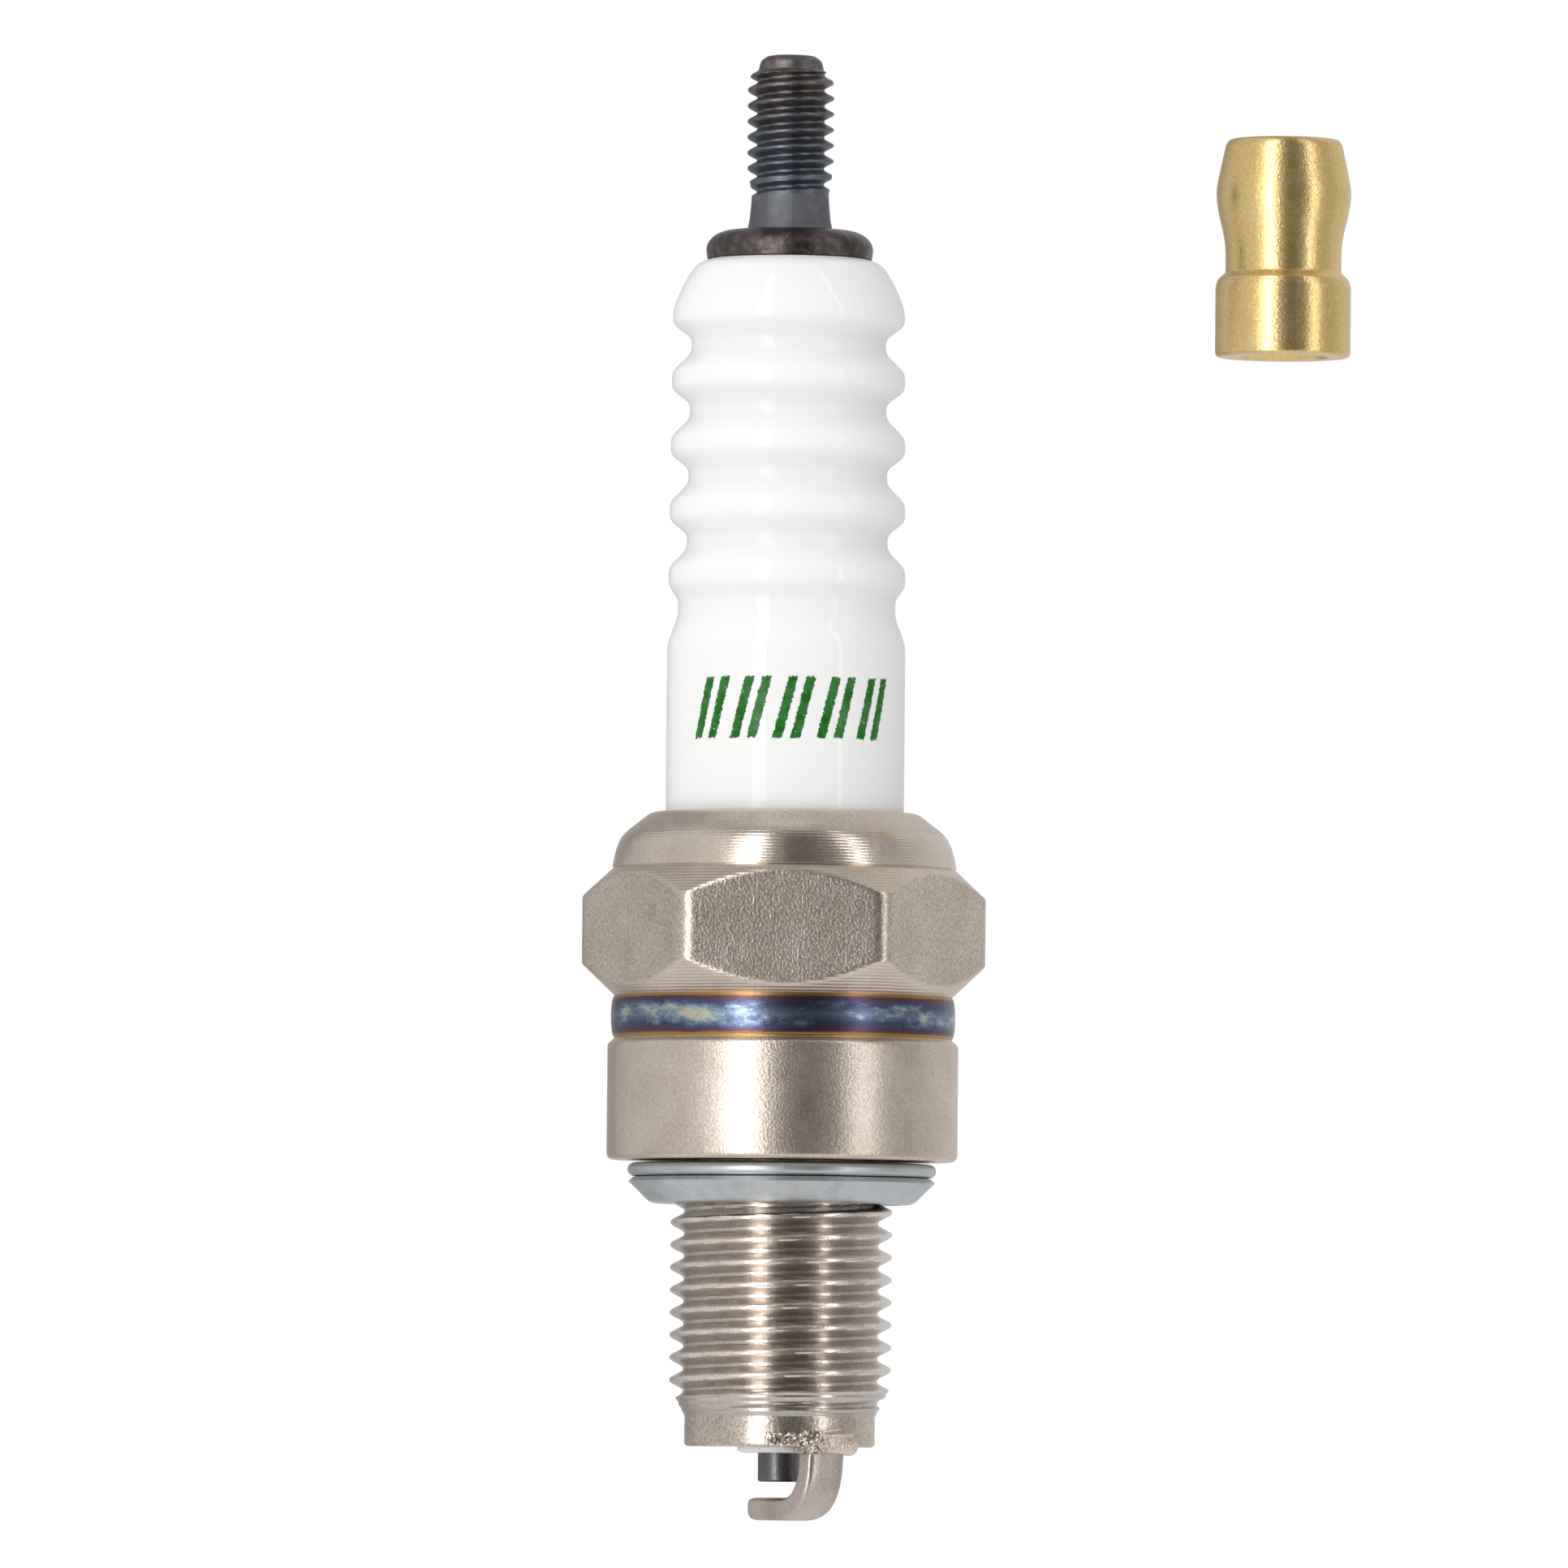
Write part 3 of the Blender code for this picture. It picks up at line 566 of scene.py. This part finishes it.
def shell_shape(r, z, angle):
    """Planes off the hexagon and cuts the thread, which runs out into the pilot."""
    across = (angle % (math.pi / 3)) - math.pi / 6
    flat = HEX_HALF_WIDTH / np.cos(across)
    on_hexagon = (z > HEX_BASE) & (z < HEX_CAP) & (r > BUCKLE_RADIUS + 0.01)
    r = np.where(on_hexagon, soft_min(r, flat, EDGE_SOFTNESS), r)
    threaded = (z < NECK_END + 0.02) & (z > PILOT_TOP - 0.6) & (r > PILOT_RADIUS - 0.01)
    groove = thread_radius(z, angle, SHELL_PITCH, GROOVE_START, ROOT_RADIUS, CREST_RADIUS)
    r = np.where(threaded, soft_min(r, groove, THREAD_BLEND), r)
    running_out = smoothstep((FADE_TOP - z) / 0.3) * smoothstep((z - PILOT_TOP) / 0.25)
    chatter = CHATTER_DEPTH * np.sin((z / CHATTER_PITCH - angle / (2 * math.pi)) * 2 * math.pi)
    outside = (r > 4) & (r < 5.2)
    return np.where(outside, r + chatter * running_out, r), z


PLATE, FLATS, TURNED, TEMPERED, THREADED, PILOT, LIP = range(7)  # the shell's finishes
CHAMFER_SLOPE = 0.25


def shell_zone(r, z):
    if HEX_BASE < z < HEX_CAP:
        return FLATS
    if HEX_CAP <= z < LIP_TOP:
        return LIP
    if PILOT_TOP < z < NECK_END + 0.1 and r > NECK_RADIUS - 0.1:
        return THREADED
    if z <= PILOT_TOP and r > PILOT_RADIUS - 0.3:
        return PILOT
    return TEMPERED if BUCKLE_LOW - 0.05 < z < HEX_BASE + 0.06 else PLATE


def turn_chamfers(shell):
    """Gives the hexagon's chamfers a turned finish, and leaves its flats scratched."""
    for face in shell.data.polygons:
        if face.material_index == FLATS and abs(face.normal.z) > CHAMFER_SLOPE:
            face.material_index = TURNED


def make_shell():
    finishes_by_zone = {
        PLATE: nickel("nickel_plate"),
        FLATS: nickel("nickel_flats", 0.12, 0.02, 0.36, 0.28, scratched=True),
        TURNED: nickel("nickel_turned", grain_depth=0.008, speckle=0.12, turned=True),
        TEMPERED: temper_colours(),
        THREADED: thread_nickel(),
        PILOT: nickel("nickel_pilot", 0.13, 0.012, 0.36, 0.23),
        LIP: nickel("nickel_lip", grain_depth=0.004, speckle=0.14, roughness=0.2, turned=True),
    }
    finishes = [finishes_by_zone[zone] for zone in sorted(finishes_by_zone)]
    shell = lathe("shell_surface", shell_outline(), hexagon_angles(), finishes, shell_shape, shell_zone)
    turn_chamfers(shell)
    place(shell, "plug", "nickel_plated_steel", "shell")


# ---------------------------------------------------------------- insulator


def insulator_radius(z):
    """Radius of the ribbed stretch: each groove is steep on its upper side and easier below."""
    down = np.clip((RIBS_TOP - z) / (RIBS_TOP - BODY_TOP), 0, 1)
    radius = RIB_RADIUS + (BODY_RADIUS - RIB_RADIUS) * down
    for i in range(GROOVE_COUNT):
        last = i == GROOVE_COUNT - 1
        offset = z - (FIRST_GROOVE - i * GROOVE_PITCH)
        depth = RIB_RADIUS - (LAST_GROOVE_RADIUS if last else GROOVE_RADIUS + 0.02 * i)
        above = 1 - smoothstep((offset - 0.26) / 0.82)
        below = 1 - smoothstep((-offset - 0.16) / (1.7 if last else 1.14))
        radius = radius - depth * np.where(offset > 0, above, below)
    return radius


def insulator_outline():
    """From the collar's seat down the outside to the nose, then the nose's bore."""
    cap = [(BORE_RADIUS, INSULATOR_TOP), (3.68, INSULATOR_TOP, 0.03), (4.2, 39.86, 0.3), (4.75, 38.95, 0.5)]
    cap = rounded([*cap, (5.12, 38.05, 0.5), (RIB_RADIUS, RIBS_TOP)])
    blur = np.linspace(-0.16, 0.16, 5)
    heights = np.arange(RIBS_TOP - 0.1, BODY_TOP - 0.2, -0.08)
    ribs = [(float(np.mean(insulator_radius(z + blur))), float(z)) for z in heights]
    flange = [(BODY_RADIUS, 11.5), (5.97, 10.9), (5.97, 6.3), (3.22, 3.3)]
    body = rounded([ribs[-1], *flange, (3.22, -3.5), (2.6, -4.15)])
    tip = [(NOSE_RADIUS, NOSE_TIP + 0.35), (NOSE_RADIUS, NOSE_TIP, 0.4), (NOSE_BORE_RADIUS, NOSE_TIP)]
    nose = rounded([(2.6, -5.4), *tip])
    bore = [(NOSE_BORE_RADIUS, -2.8), (BORE_RADIUS, -2.2)]
    return spaced(cap, 0.2) + ribs + spaced(body, 0.5)[1:] + spaced(nose, 0.4) + bore


def make_insulator():
    insulator = lathe("insulator_surface", insulator_outline(), even_angles(160), [glaze()])
    place(insulator, "plug", "glazed_alumina", "insulator")


# ---------------------------------------------------------------- terminal stud and nut


def stud_outline():
    """Tip, thread, tapered shank, rolled collar, and the rod with the narrow end that the seal grips."""
    tip = [(0, STUD_TOP), (1.05, STUD_TOP, 0.12), (1.36, STUD_TOP - 0.22, 0.14), (1.46, 48.6, 0.08)]
    thread = [(1.8, 48.4, 0.1), (STUD_CREST_RADIUS, 47.9, 0.2), (STUD_CREST_RADIUS, 44.3)]
    tip = rounded([*tip, *thread, (1.72, SHANK_TOP + 0.12)])
    shank = rounded([(1.72, SHANK_TOP), (1.74, 42.6), (1.81, 41.9), (1.9, COLLAR_TOP)])
    collar = arc(COLLAR_BEND_RADIUS, COLLAR_TOP - 0.88, COLLAR_RADIUS - COLLAR_BEND_RADIUS, 88, 0, 12, 0.86)
    collar.append((COLLAR_RADIUS - 0.05, 40.17))
    seat = INSULATOR_TOP + 0.05
    rod = [(3.4, seat), (ROD_RADIUS, seat), (ROD_RADIUS, 20.3), (1.3, 20.1), (1.3, 17.2)]
    rod += [(1.5, 17.0), (1.5, STUD_END), (0, STUD_END)]
    return spaced(tip, 0.055) + spaced(shank, 0.15) + spaced(collar, 0.15) + rod


def stud_shape(r, z, angle):
    threaded = (z > SHANK_TOP + 0.1) & (z < STUD_TOP - 0.35)
    groove = thread_radius(z, angle, STUD_PITCH, STUD_GROOVE_START, STUD_ROOT_RADIUS, STUD_CREST_RADIUS)
    return np.where(threaded, soft_min(r, groove, STUD_BLEND), r), z


def stud_zone(r, z):
    """The index of the finish: thread, shank or collar."""
    if z > SHANK_TOP + 0.05:
        return 0
    return 1 if z > COLLAR_TOP - 0.02 else 2


def make_stud():
    finishes = [
        black_steel("black_thread", 0.42, ((0.13, 0.122, 0.125), (0.25, 0.215, 0.2)), 0.012, blued=True),
        black_steel("black_shank", 0.62, ((0.17, 0.178, 0.196), (0.21, 0.218, 0.235)), 0.01),
        black_steel("black_collar", 0.29, ((0.07, 0.06, 0.058), (0.17, 0.14, 0.13)), 0.02),
    ]
    stud = lathe("terminal_stud_surface", stud_outline(), even_angles(128), finishes, stud_shape, stud_zone)
    place(stud, "plug", "black_oxide_steel", "terminal_stud")


def nut_outline():
    """Waisted head, step and barrel, then the hole's mouth and the blind hole."""
    height = NUT_TOP - NUT_BASE - 0.1
    top = [(0, height), (2.44, height, 0.12), (2.6, height - 0.24, 0.12)]
    head = [(2.9, 8.15, 0.7), (3.03, 7.45, 0.5), (2.93, 6.6, 0.5), (2.58, 5.2, 0.8)]
    barrel = [(2.58, 3.85, 0.06), (2.92, 3.55, 0.08), (3.02, 3.2, 0.08), (3.02, 0.08, 0.26)]
    hole = [(2.05, 0.08, 0.04), (NUT_CREST_RADIUS, 0.45, 0.05), (NUT_CREST_RADIUS, 7.1)]
    outer = rounded([*top, *head, *barrel, *hole], 8)
    return spaced(outer, 0.12) + [(0, 7.6)]


def nut_shape(r, z, angle):
    groove = thread_radius(z, angle, STUD_PITCH, NUT_GROOVE_START, NUT_ROOT_RADIUS, NUT_CREST_RADIUS)
    threaded = (r < NUT_CREST_RADIUS + 0.04) & (r > 1.0) & (z < NUT_THREAD_TOP)
    return np.where(threaded, groove, r), z


def make_nut():
    place_at = (NUT_X, 0, NUT_BASE)
    nut = lathe("terminal_nut_surface", nut_outline(), even_angles(128), [brass()], nut_shape, at=place_at)
    place(nut, "terminal_nut", "turned_brass", "terminal_nut")


# ---------------------------------------------------------------- gasket


def gasket_line():
    """Middle of the folded sheet: top ply, rim, middle ply, inner bend, dished bottom ply."""
    top, base = GASKET_TOP - SHEET_HALF, GASKET_BASE + SHEET_HALF
    middle = top - 2 * FOLD_RADIUS
    rim = arc(GASKET_RADIUS - SHEET_HALF - FOLD_RADIUS, top - FOLD_RADIUS, FOLD_RADIUS, 90, -90, 10)
    inner_bend = [(5.05, middle - 0.15), (4.78, middle - 0.3, 0.2), (4.72, base + 0.2, 0.3), (5.2, base)]
    dish = [(5.3, base), (5.78, base, 0.25), (6.72, -0.86)]
    plies = [(5.05, top), (5.8, top), *rim, (5.8, middle), (5.3, middle - 0.06)]
    return plies + rounded(inner_bend) + rounded(dish)


def gasket_shape(r, z, angle):
    """The fold wanders a little round the rim."""
    lower = smoothstep((GASKET_TOP - 0.7 - z) / 0.3) * smoothstep((r - 5.8) / 0.6)
    return r, z + lower * (0.035 * np.sin(angle * 2 + 0.6) + 0.015 * np.sin(angle * 5))


def make_gasket():
    outline = thickened(spaced(gasket_line(), 0.12), SHEET_HALF)
    gasket = lathe("gasket_surface", outline, even_angles(180), [zinc()], gasket_shape, sharp=60)
    place(gasket, "gasket", "zinc_plated_steel", "gasket")


# ---------------------------------------------------------------- electrodes


def make_centre_electrode():
    tip = [(TIP_RADIUS, -2.75), (TIP_RADIUS, ELECTRODE_TIP, 0.14), (0, ELECTRODE_TIP)]
    core = [(0, -11.85), (CORE_RADIUS, -11.85), (CORE_RADIUS, ELECTRODE_TOP)]
    head = [(HEAD_RADIUS, ELECTRODE_TOP), (HEAD_RADIUS, HEAD_BASE), (1.6, HEAD_BASE), (1.6, -2.1)]
    outline = core + head + spaced(rounded(tip), 0.3)
    electrode = lathe("centre_electrode_surface", outline, even_angles(96), [electrode_alloy()])
    place(electrode, "plug", "nickel_alloy", "centre_electrode")


def strap_path():
    """The strap's middle line as (distance from the axis, height), and the way it runs there."""
    arm = STRAP_LOW + STRAP_THICKNESS / 2
    foot = (STRAP_FOOT_RADIUS, SHELL_END - 0.05)
    knee, corner = Vector(STRAP_KNEE), Vector((STRAP_CORNER_RADIUS, arm))
    start = corner + (knee - corner).normalized() * STRAP_BEND
    end = corner - Vector((STRAP_BEND, 0))
    bend = [start * (1 - t) ** 2 + corner * 2 * t * (1 - t) + end * t**2 for t in np.linspace(0, 1, 18)]
    upper = spaced(rounded([foot, (*knee, 0.14), tuple(start)]), 0.1)
    lower = spaced([tuple(end), (-STRAP_REACH, arm)], 0.1)
    points = np.array(upper + [tuple(p) for p in bend[1:]] + lower[1:])
    along = np.gradient(points, axis=0)
    return points, along / np.linalg.norm(along, axis=1)[:, None]


def strap_section():
    """A rectangle with rounded corners, as (across the width, across the thickness) of unit half sizes."""
    angles, power = even_angles(STRAP_SIDES), STRAP_SQUARENESS
    c, s = np.cos(angles), np.sin(angles)
    size = (np.abs(c) ** power + np.abs(s) ** power) ** (-1 / power)
    return np.stack([c * size, s * size], 1)


def rounding(to_end, radius):
    """How far a surface draws in, at a distance from the end it is rounded over."""
    if to_end >= radius:
        return 0.0
    return radius - math.sqrt(max(radius**2 - (radius - to_end) ** 2, 0))


def make_strap():
    """Sweeps the section along the path, with a rounded tip, and a burr on one edge above the bend."""
    points, along = strap_path()
    wide, thick = strap_section().T
    rings = []
    last = len(points) - 1
    near_corner = np.exp(-(((wide + 0.93) / 0.06) ** 2) - ((thick - 0.93) / 0.06) ** 2)
    for i, ((r, z), (dr, dz)) in enumerate(zip(points, along)):
        to_tip = r + STRAP_REACH if r < 0 else math.inf
        across = np.sign(wide) * (np.abs(wide) * STRAP_WIDTH / 2 - rounding(to_tip, TIP_SIDE_RADIUS))
        half = np.abs(thick) * STRAP_THICKNESS / 2
        under, over = half - rounding(to_tip, TIP_UNDER_RADIUS), rounding(to_tip, TIP_TOP_RADIUS) - half
        out = np.where(thick > 0, under, over)
        raised = BURR_SHARE * near_corner * math.exp(-(((z - BURR_Z) / BURR_LENGTH) ** 2))
        burr = 1 + raised * (1 + math.sin(i * 2.3))
        rings.append(np.stack([r - out * burr * dz, across * burr, z + out * burr * dr], 1))
    columns = len(wide)
    faces = []
    for start in range(0, last * columns, columns):
        for j in range(columns):
            beside = (j + 1) % columns
            faces.append([start + j, start + beside, start + columns + beside, start + columns + j])
    faces += [list(range(columns))[::-1], [last * columns + j for j in range(columns)]]
    finish = nickel("nickel_strap", 0.12, 0.014, 0.16, 0.3, tints=(STRAP_LIGHT, STRAP_DARK))
    strap = add_mesh("ground_electrode_surface", np.concatenate(rings), faces, [finish])
    strap.data.transform(Matrix.Rotation(STRAP_AZIMUTH, 4, "Z"))
    face_outwards(strap)
    place(strap, "plug", "nickel_plated_steel", "ground_electrode")


def face_outwards(obj):
    data = bmesh.new()
    data.from_mesh(obj.data)
    bmesh.ops.recalc_face_normals(data, faces=data.faces)
    data.to_mesh(obj.data)
    data.free()
    obj.data.set_sharp_from_angle(angle=math.radians(50))


def lump(data, centre, radii, azimuth, detail=2):
    """Adds a blob of weld metal, with a radius along each axis, to a bmesh that is in millimetres."""
    made = bmesh.ops.create_icosphere(data, subdivisions=detail, radius=1.0)["verts"]
    bmesh.ops.scale(data, verts=made, vec=radii)
    bmesh.ops.rotate(data, verts=made, cent=(0, 0, 0), matrix=Matrix.Rotation(azimuth, 3, "Z"))
    bmesh.ops.translate(data, verts=made, vec=centre)


def on_pilot(degrees, z, radius):
    """A point on the pilot, by its azimuth in degrees from the front, rightwards."""
    azimuth = math.radians(degrees)
    return Vector((radius * math.sin(azimuth), -radius * math.cos(azimuth), z))


def melted(data, name, voxel, ripple):
    """Runs the blobs together into one skin, then crinkles it."""
    mesh = bpy.data.meshes.new(name)
    bmesh.ops.scale(data, vec=(MM, MM, MM), verts=data.verts)
    data.to_mesh(mesh)
    data.free()
    obj = bpy.data.objects.new(name, mesh)
    bpy.context.scene.collection.objects.link(obj)
    skin = obj.modifiers.new("skin", "REMESH")
    skin.mode, skin.voxel_size = "VOXEL", voxel * MM
    smooth = obj.modifiers.new("smooth", "SMOOTH")
    smooth.factor, smooth.iterations = 0.5, 2
    solid = bpy.data.meshes.new_from_object(obj.evaluated_get(bpy.context.evaluated_depsgraph_get()))
    obj.modifiers.clear()
    obj.data = solid
    normals = [vertex.normal.copy() for vertex in solid.vertices]
    for vertex, normal in zip(solid.vertices, normals):
        wave = noise.fractal(vertex.co / (0.16 * MM), 0.8, 2.0, 3)
        vertex.co += normal * wave * ripple * MM
    solid.shade_smooth()
    return obj


def make_weld():
    """A bead round the strap's foot, two ridges above it on the pilot, and crinkled spatter beside it."""
    draw = random.Random(7)
    data = bmesh.new()
    outward = Vector((math.cos(STRAP_AZIMUTH), math.sin(STRAP_AZIMUTH), 0))
    sideways = Vector((-outward.y, outward.x, 0))

    def at_foot(out, across, z):
        return outward * out + sideways * across + Vector((0, 0, z))

    # The bead runs along the strap's outer face and down both its sides, and bulges at its right end.
    for across in np.linspace(-0.98, 0.98, 12):
        lump(data, at_foot(3.95, across, SHELL_END - 0.02), (0.38, 0.28, 0.3), STRAP_AZIMUTH)
    for out in np.linspace(2.9, 3.9, 8):
        lump(data, at_foot(out, -1.0, SHELL_END - 0.06), (0.24, 0.24, 0.27), STRAP_AZIMUTH)
        lump(data, at_foot(out, 0.98, SHELL_END + 0.04), (0.26, 0.24, 0.3), STRAP_AZIMUTH)
    lump(data, at_foot(3.75, 1.12, SHELL_END + 0.02), (0.46, 0.4, 0.4), STRAP_AZIMUTH, 3)
    # Two low rows lie over the pilot's edge, and two thin ridges above them.
    for start, end, rise, radii in ((13, 48, 0.12, (0.24, 0.2, 0.22)), (28, 44, 0.3, (0.3, 0.2, 0.26))):
        for degrees in range(start, end, 2):
            centre = on_pilot(degrees, SHELL_END + rise, PILOT_RADIUS - 0.1)
            lump(data, centre, radii, math.radians(degrees))
    for start, end, rise, climb, size in ((18, 38, 0.6, 0.2, 0.1), (24, 47, 0.5, 0.04, 0.15)):
        for degrees in np.linspace(start, end, 14):
            ridge = SHELL_END + rise + climb * (degrees - start) / (end - start)
            centre = on_pilot(degrees, ridge, PILOT_RADIUS + size * 0.4)
            lump(data, centre, (0.16, size, size * 0.8), math.radians(degrees))
    for _ in range(SPATTER_COUNT):
        degrees, rise = draw.uniform(-8, 30), draw.triangular(0.0, 0.75, 0.2)
        size = draw.uniform(0.035, 0.1)
        centre = on_pilot(degrees, SHELL_END + rise, PILOT_RADIUS + (0.1 if degrees > 15 else 0.0))
        lump(data, centre, (size * 1.5, size, size), math.radians(degrees + draw.uniform(-30, 30)), 1)
    weld = melted(data, "ground_electrode_weld_surface", 0.027, 0.008)
    weld.data.materials.append(weld_metal())
    place(weld, "plug", "nickel_plated_steel", "ground_electrode_weld")


def finish_hidden_pieces():
    """The pieces inside keep their CAD shapes, and get a worked surface."""
    seal = plain("fused_glass_seal", (0.30, 0.23, 0.18), (0.16, 0.12, 0.10), 0.55, 0.0, 0.2)
    carbon = plain("carbon_resistor", (0.03, 0.03, 0.03), (0.06, 0.06, 0.06), 0.7, 0.0, 0.15)
    copper = plain("drawn_copper", (0.85, 0.45, 0.30), (0.75, 0.38, 0.24), 0.3, 1.0, 0.2)
    wire = plain("packing_wire", (0.55, 0.57, 0.58), (0.42, 0.44, 0.46), 0.4, 1.0, 0.15)
    talc = plain("pressed_talc", (0.82, 0.82, 0.79), (0.70, 0.70, 0.66), 0.9, 0.0, 0.12)
    finishes = {
        "upper_glass_seal": seal,
        "lower_glass_seal": seal,
        "resistor": carbon,
        "electrode_copper_core": copper,
        "seat_washer": copper,
        "upper_packing_ring": wire,
        "lower_packing_ring": wire,
        "talc_packing": talc,
    }
    for node, finish in finishes.items():
        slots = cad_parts[node].material_slots
        slots[0].link = "OBJECT"
        slots[0].material = finish


# ---------------------------------------------------------------- studio


CAMERA_DISTANCE = 730
CAMERA_X, EYE_LEVEL = -0.05, -12.7
PITCH_UP, ROLL = math.radians(2.3125), math.radians(0.5)
LENS_MM = 376.9
FLOOR_RADIUS, FLOOR_Z, FLOOR_THICKNESS = 350, -250, 5


def add_camera():
    data = bpy.data.cameras.new("camera")
    data.sensor_width = 36
    data.lens = LENS_MM
    data.clip_end = 10
    camera = bpy.data.objects.new("camera", data)
    bpy.context.scene.collection.objects.link(camera)
    level = Matrix.Rotation(math.radians(90) + PITCH_UP, 4, "X")
    place_at = Matrix.Translation(Vector((CAMERA_X, -CAMERA_DISTANCE, EYE_LEVEL)) * MM)
    camera.matrix_world = place_at @ level @ Matrix.Rotation(ROLL, 4, "Z")
    bpy.context.scene.camera = camera


LIGHT_DISTANCE, LIGHT_HEIGHT, AIM_HEIGHT = 1.0, 3.6, 0.015  # metres
KEY_AZIMUTHS, KEY_WIDTH, KEY_RADIANCE = (-30.5, -25.75, -21), 0.046, 8.0
STRIP_AZIMUTH, STRIP_WIDTH, STRIP_RADIANCE = 54, 0.07, 5.4


def add_light(name, azimuth, width, radiance):
    """An upright tube that only gloss sees, at an azimuth in degrees from the front, rightwards."""
    data = bpy.data.lights.new(name, "AREA")
    data.shape = "RECTANGLE"
    data.size, data.size_y = width, LIGHT_HEIGHT
    data.energy = radiance * math.pi * width * LIGHT_HEIGHT
    turn = math.radians(azimuth)
    aim = Vector((0, 0, AIM_HEIGHT))
    light = bpy.data.objects.new(name, data)
    light.location = aim + Vector((math.sin(turn), -math.cos(turn), 0)) * LIGHT_DISTANCE
    light.rotation_euler = (aim - light.location).to_track_quat("-Z", "Y").to_euler()
    light.visible_camera = light.visible_diffuse = False
    bpy.context.scene.collection.objects.link(light)


def add_lights():
    for i, azimuth in enumerate(KEY_AZIMUTHS):
        add_light(f"key_tube_{i + 1}", azimuth, KEY_WIDTH, KEY_RADIANCE)
    add_light("right_strip", STRIP_AZIMUTH, STRIP_WIDTH, STRIP_RADIANCE)


# What gloss sees round the room: an azimuth in degrees from the front, rightwards, and the light there.
ROOM_LIGHT = [(-180, 0.55), (-150, 0.36), (-130, 0.52), (-108, 0.66), (-72, 0.66), (-55, 0.76), (-36, 0.8)]
ROOM_LIGHT += [(-16, 0.32), (8, 0.12), (30, 0.17), (44, 0.32), (66, 0.48), (90, 0.44), (112, 0.64), (140, 0.68)]
# What it sees far up and far down, and where that begins and takes over, as the height of the line of sight.
STEEP_LIGHT, STEEP_START, STEEP_END = 0.38, 0.88, 0.99
# What matt surfaces see, in the same way.
SOFT_LIGHT = [(-180, 0.85), (-90, 1.06), (-30, 1.19), (0, 1.27), (30, 1.16)]
SOFT_LIGHT += [(80, 0.46), (125, 0.34), (160, 0.65)]


class World(Nodes):
    """The world's node tree, with the calls that a material has."""

    def __init__(self):
        world = bpy.data.worlds.new("studio")
        bpy.context.scene.world = world
        world.use_nodes = True
        self.tree = world.node_tree
        self.background = self.tree.nodes["Background"]


def add_world():
    """White to the camera, a soft light to matt surfaces, and to gloss a room that is dim in front."""
    w = World()
    direction = w.add("ShaderNodeTexCoord").outputs["Generated"]
    parts = w.add("ShaderNodeSeparateXYZ", {"Vector": direction}).outputs
    azimuth = w.math("ARCTAN2", parts["X"], w.math("MULTIPLY", parts["Y"], -1.0))
    share = w.math("MULTIPLY_ADD", azimuth, 1 / (2 * math.pi), 0.5)
    round_room, soft_room = (
        w.ramp(share, [((degrees + 180) / 360, light) for degrees, light in lights], "EASE")
        for lights in (ROOM_LIGHT, SOFT_LIGHT)
    )
    steep = w.share(w.math("ABSOLUTE", parts["Z"]), STEEP_START, STEEP_END)
    room = w.mix(steep, round_room, (STEEP_LIGHT, STEEP_LIGHT, STEEP_LIGHT))
    rays = w.add("ShaderNodeLightPath").outputs
    seen = w.mix(rays["Is Diffuse Ray"], room, soft_room)
    w.put(w.background.inputs["Color"], w.mix(rays["Is Camera Ray"], seen, (1.0, 1.0, 1.0)))


def add_floor():
    m = Nodes("pale_floor")
    finish = m.finish(m.mix(m.noise(40.0), (0.9, 0.9, 0.9), (0.87, 0.87, 0.87)), 0.8, 0.0)
    outline = [(0, FLOOR_Z), (FLOOR_RADIUS, FLOOR_Z), (FLOOR_RADIUS, FLOOR_Z - FLOOR_THICKNESS)]
    outline.append((0, FLOOR_Z - FLOOR_THICKNESS))
    lathe("studio_floor", outline, even_angles(96), [finish])


def make_studio():
    add_camera()
    add_lights()
    add_world()
    add_floor()
    bpy.context.scene.view_settings.view_transform = "Standard"


def main():
    make_shell()
    make_insulator()
    make_stud()
    make_nut()
    make_gasket()
    make_centre_electrode()
    make_strap()
    make_weld()
    finish_hidden_pieces()
    make_studio()


main()
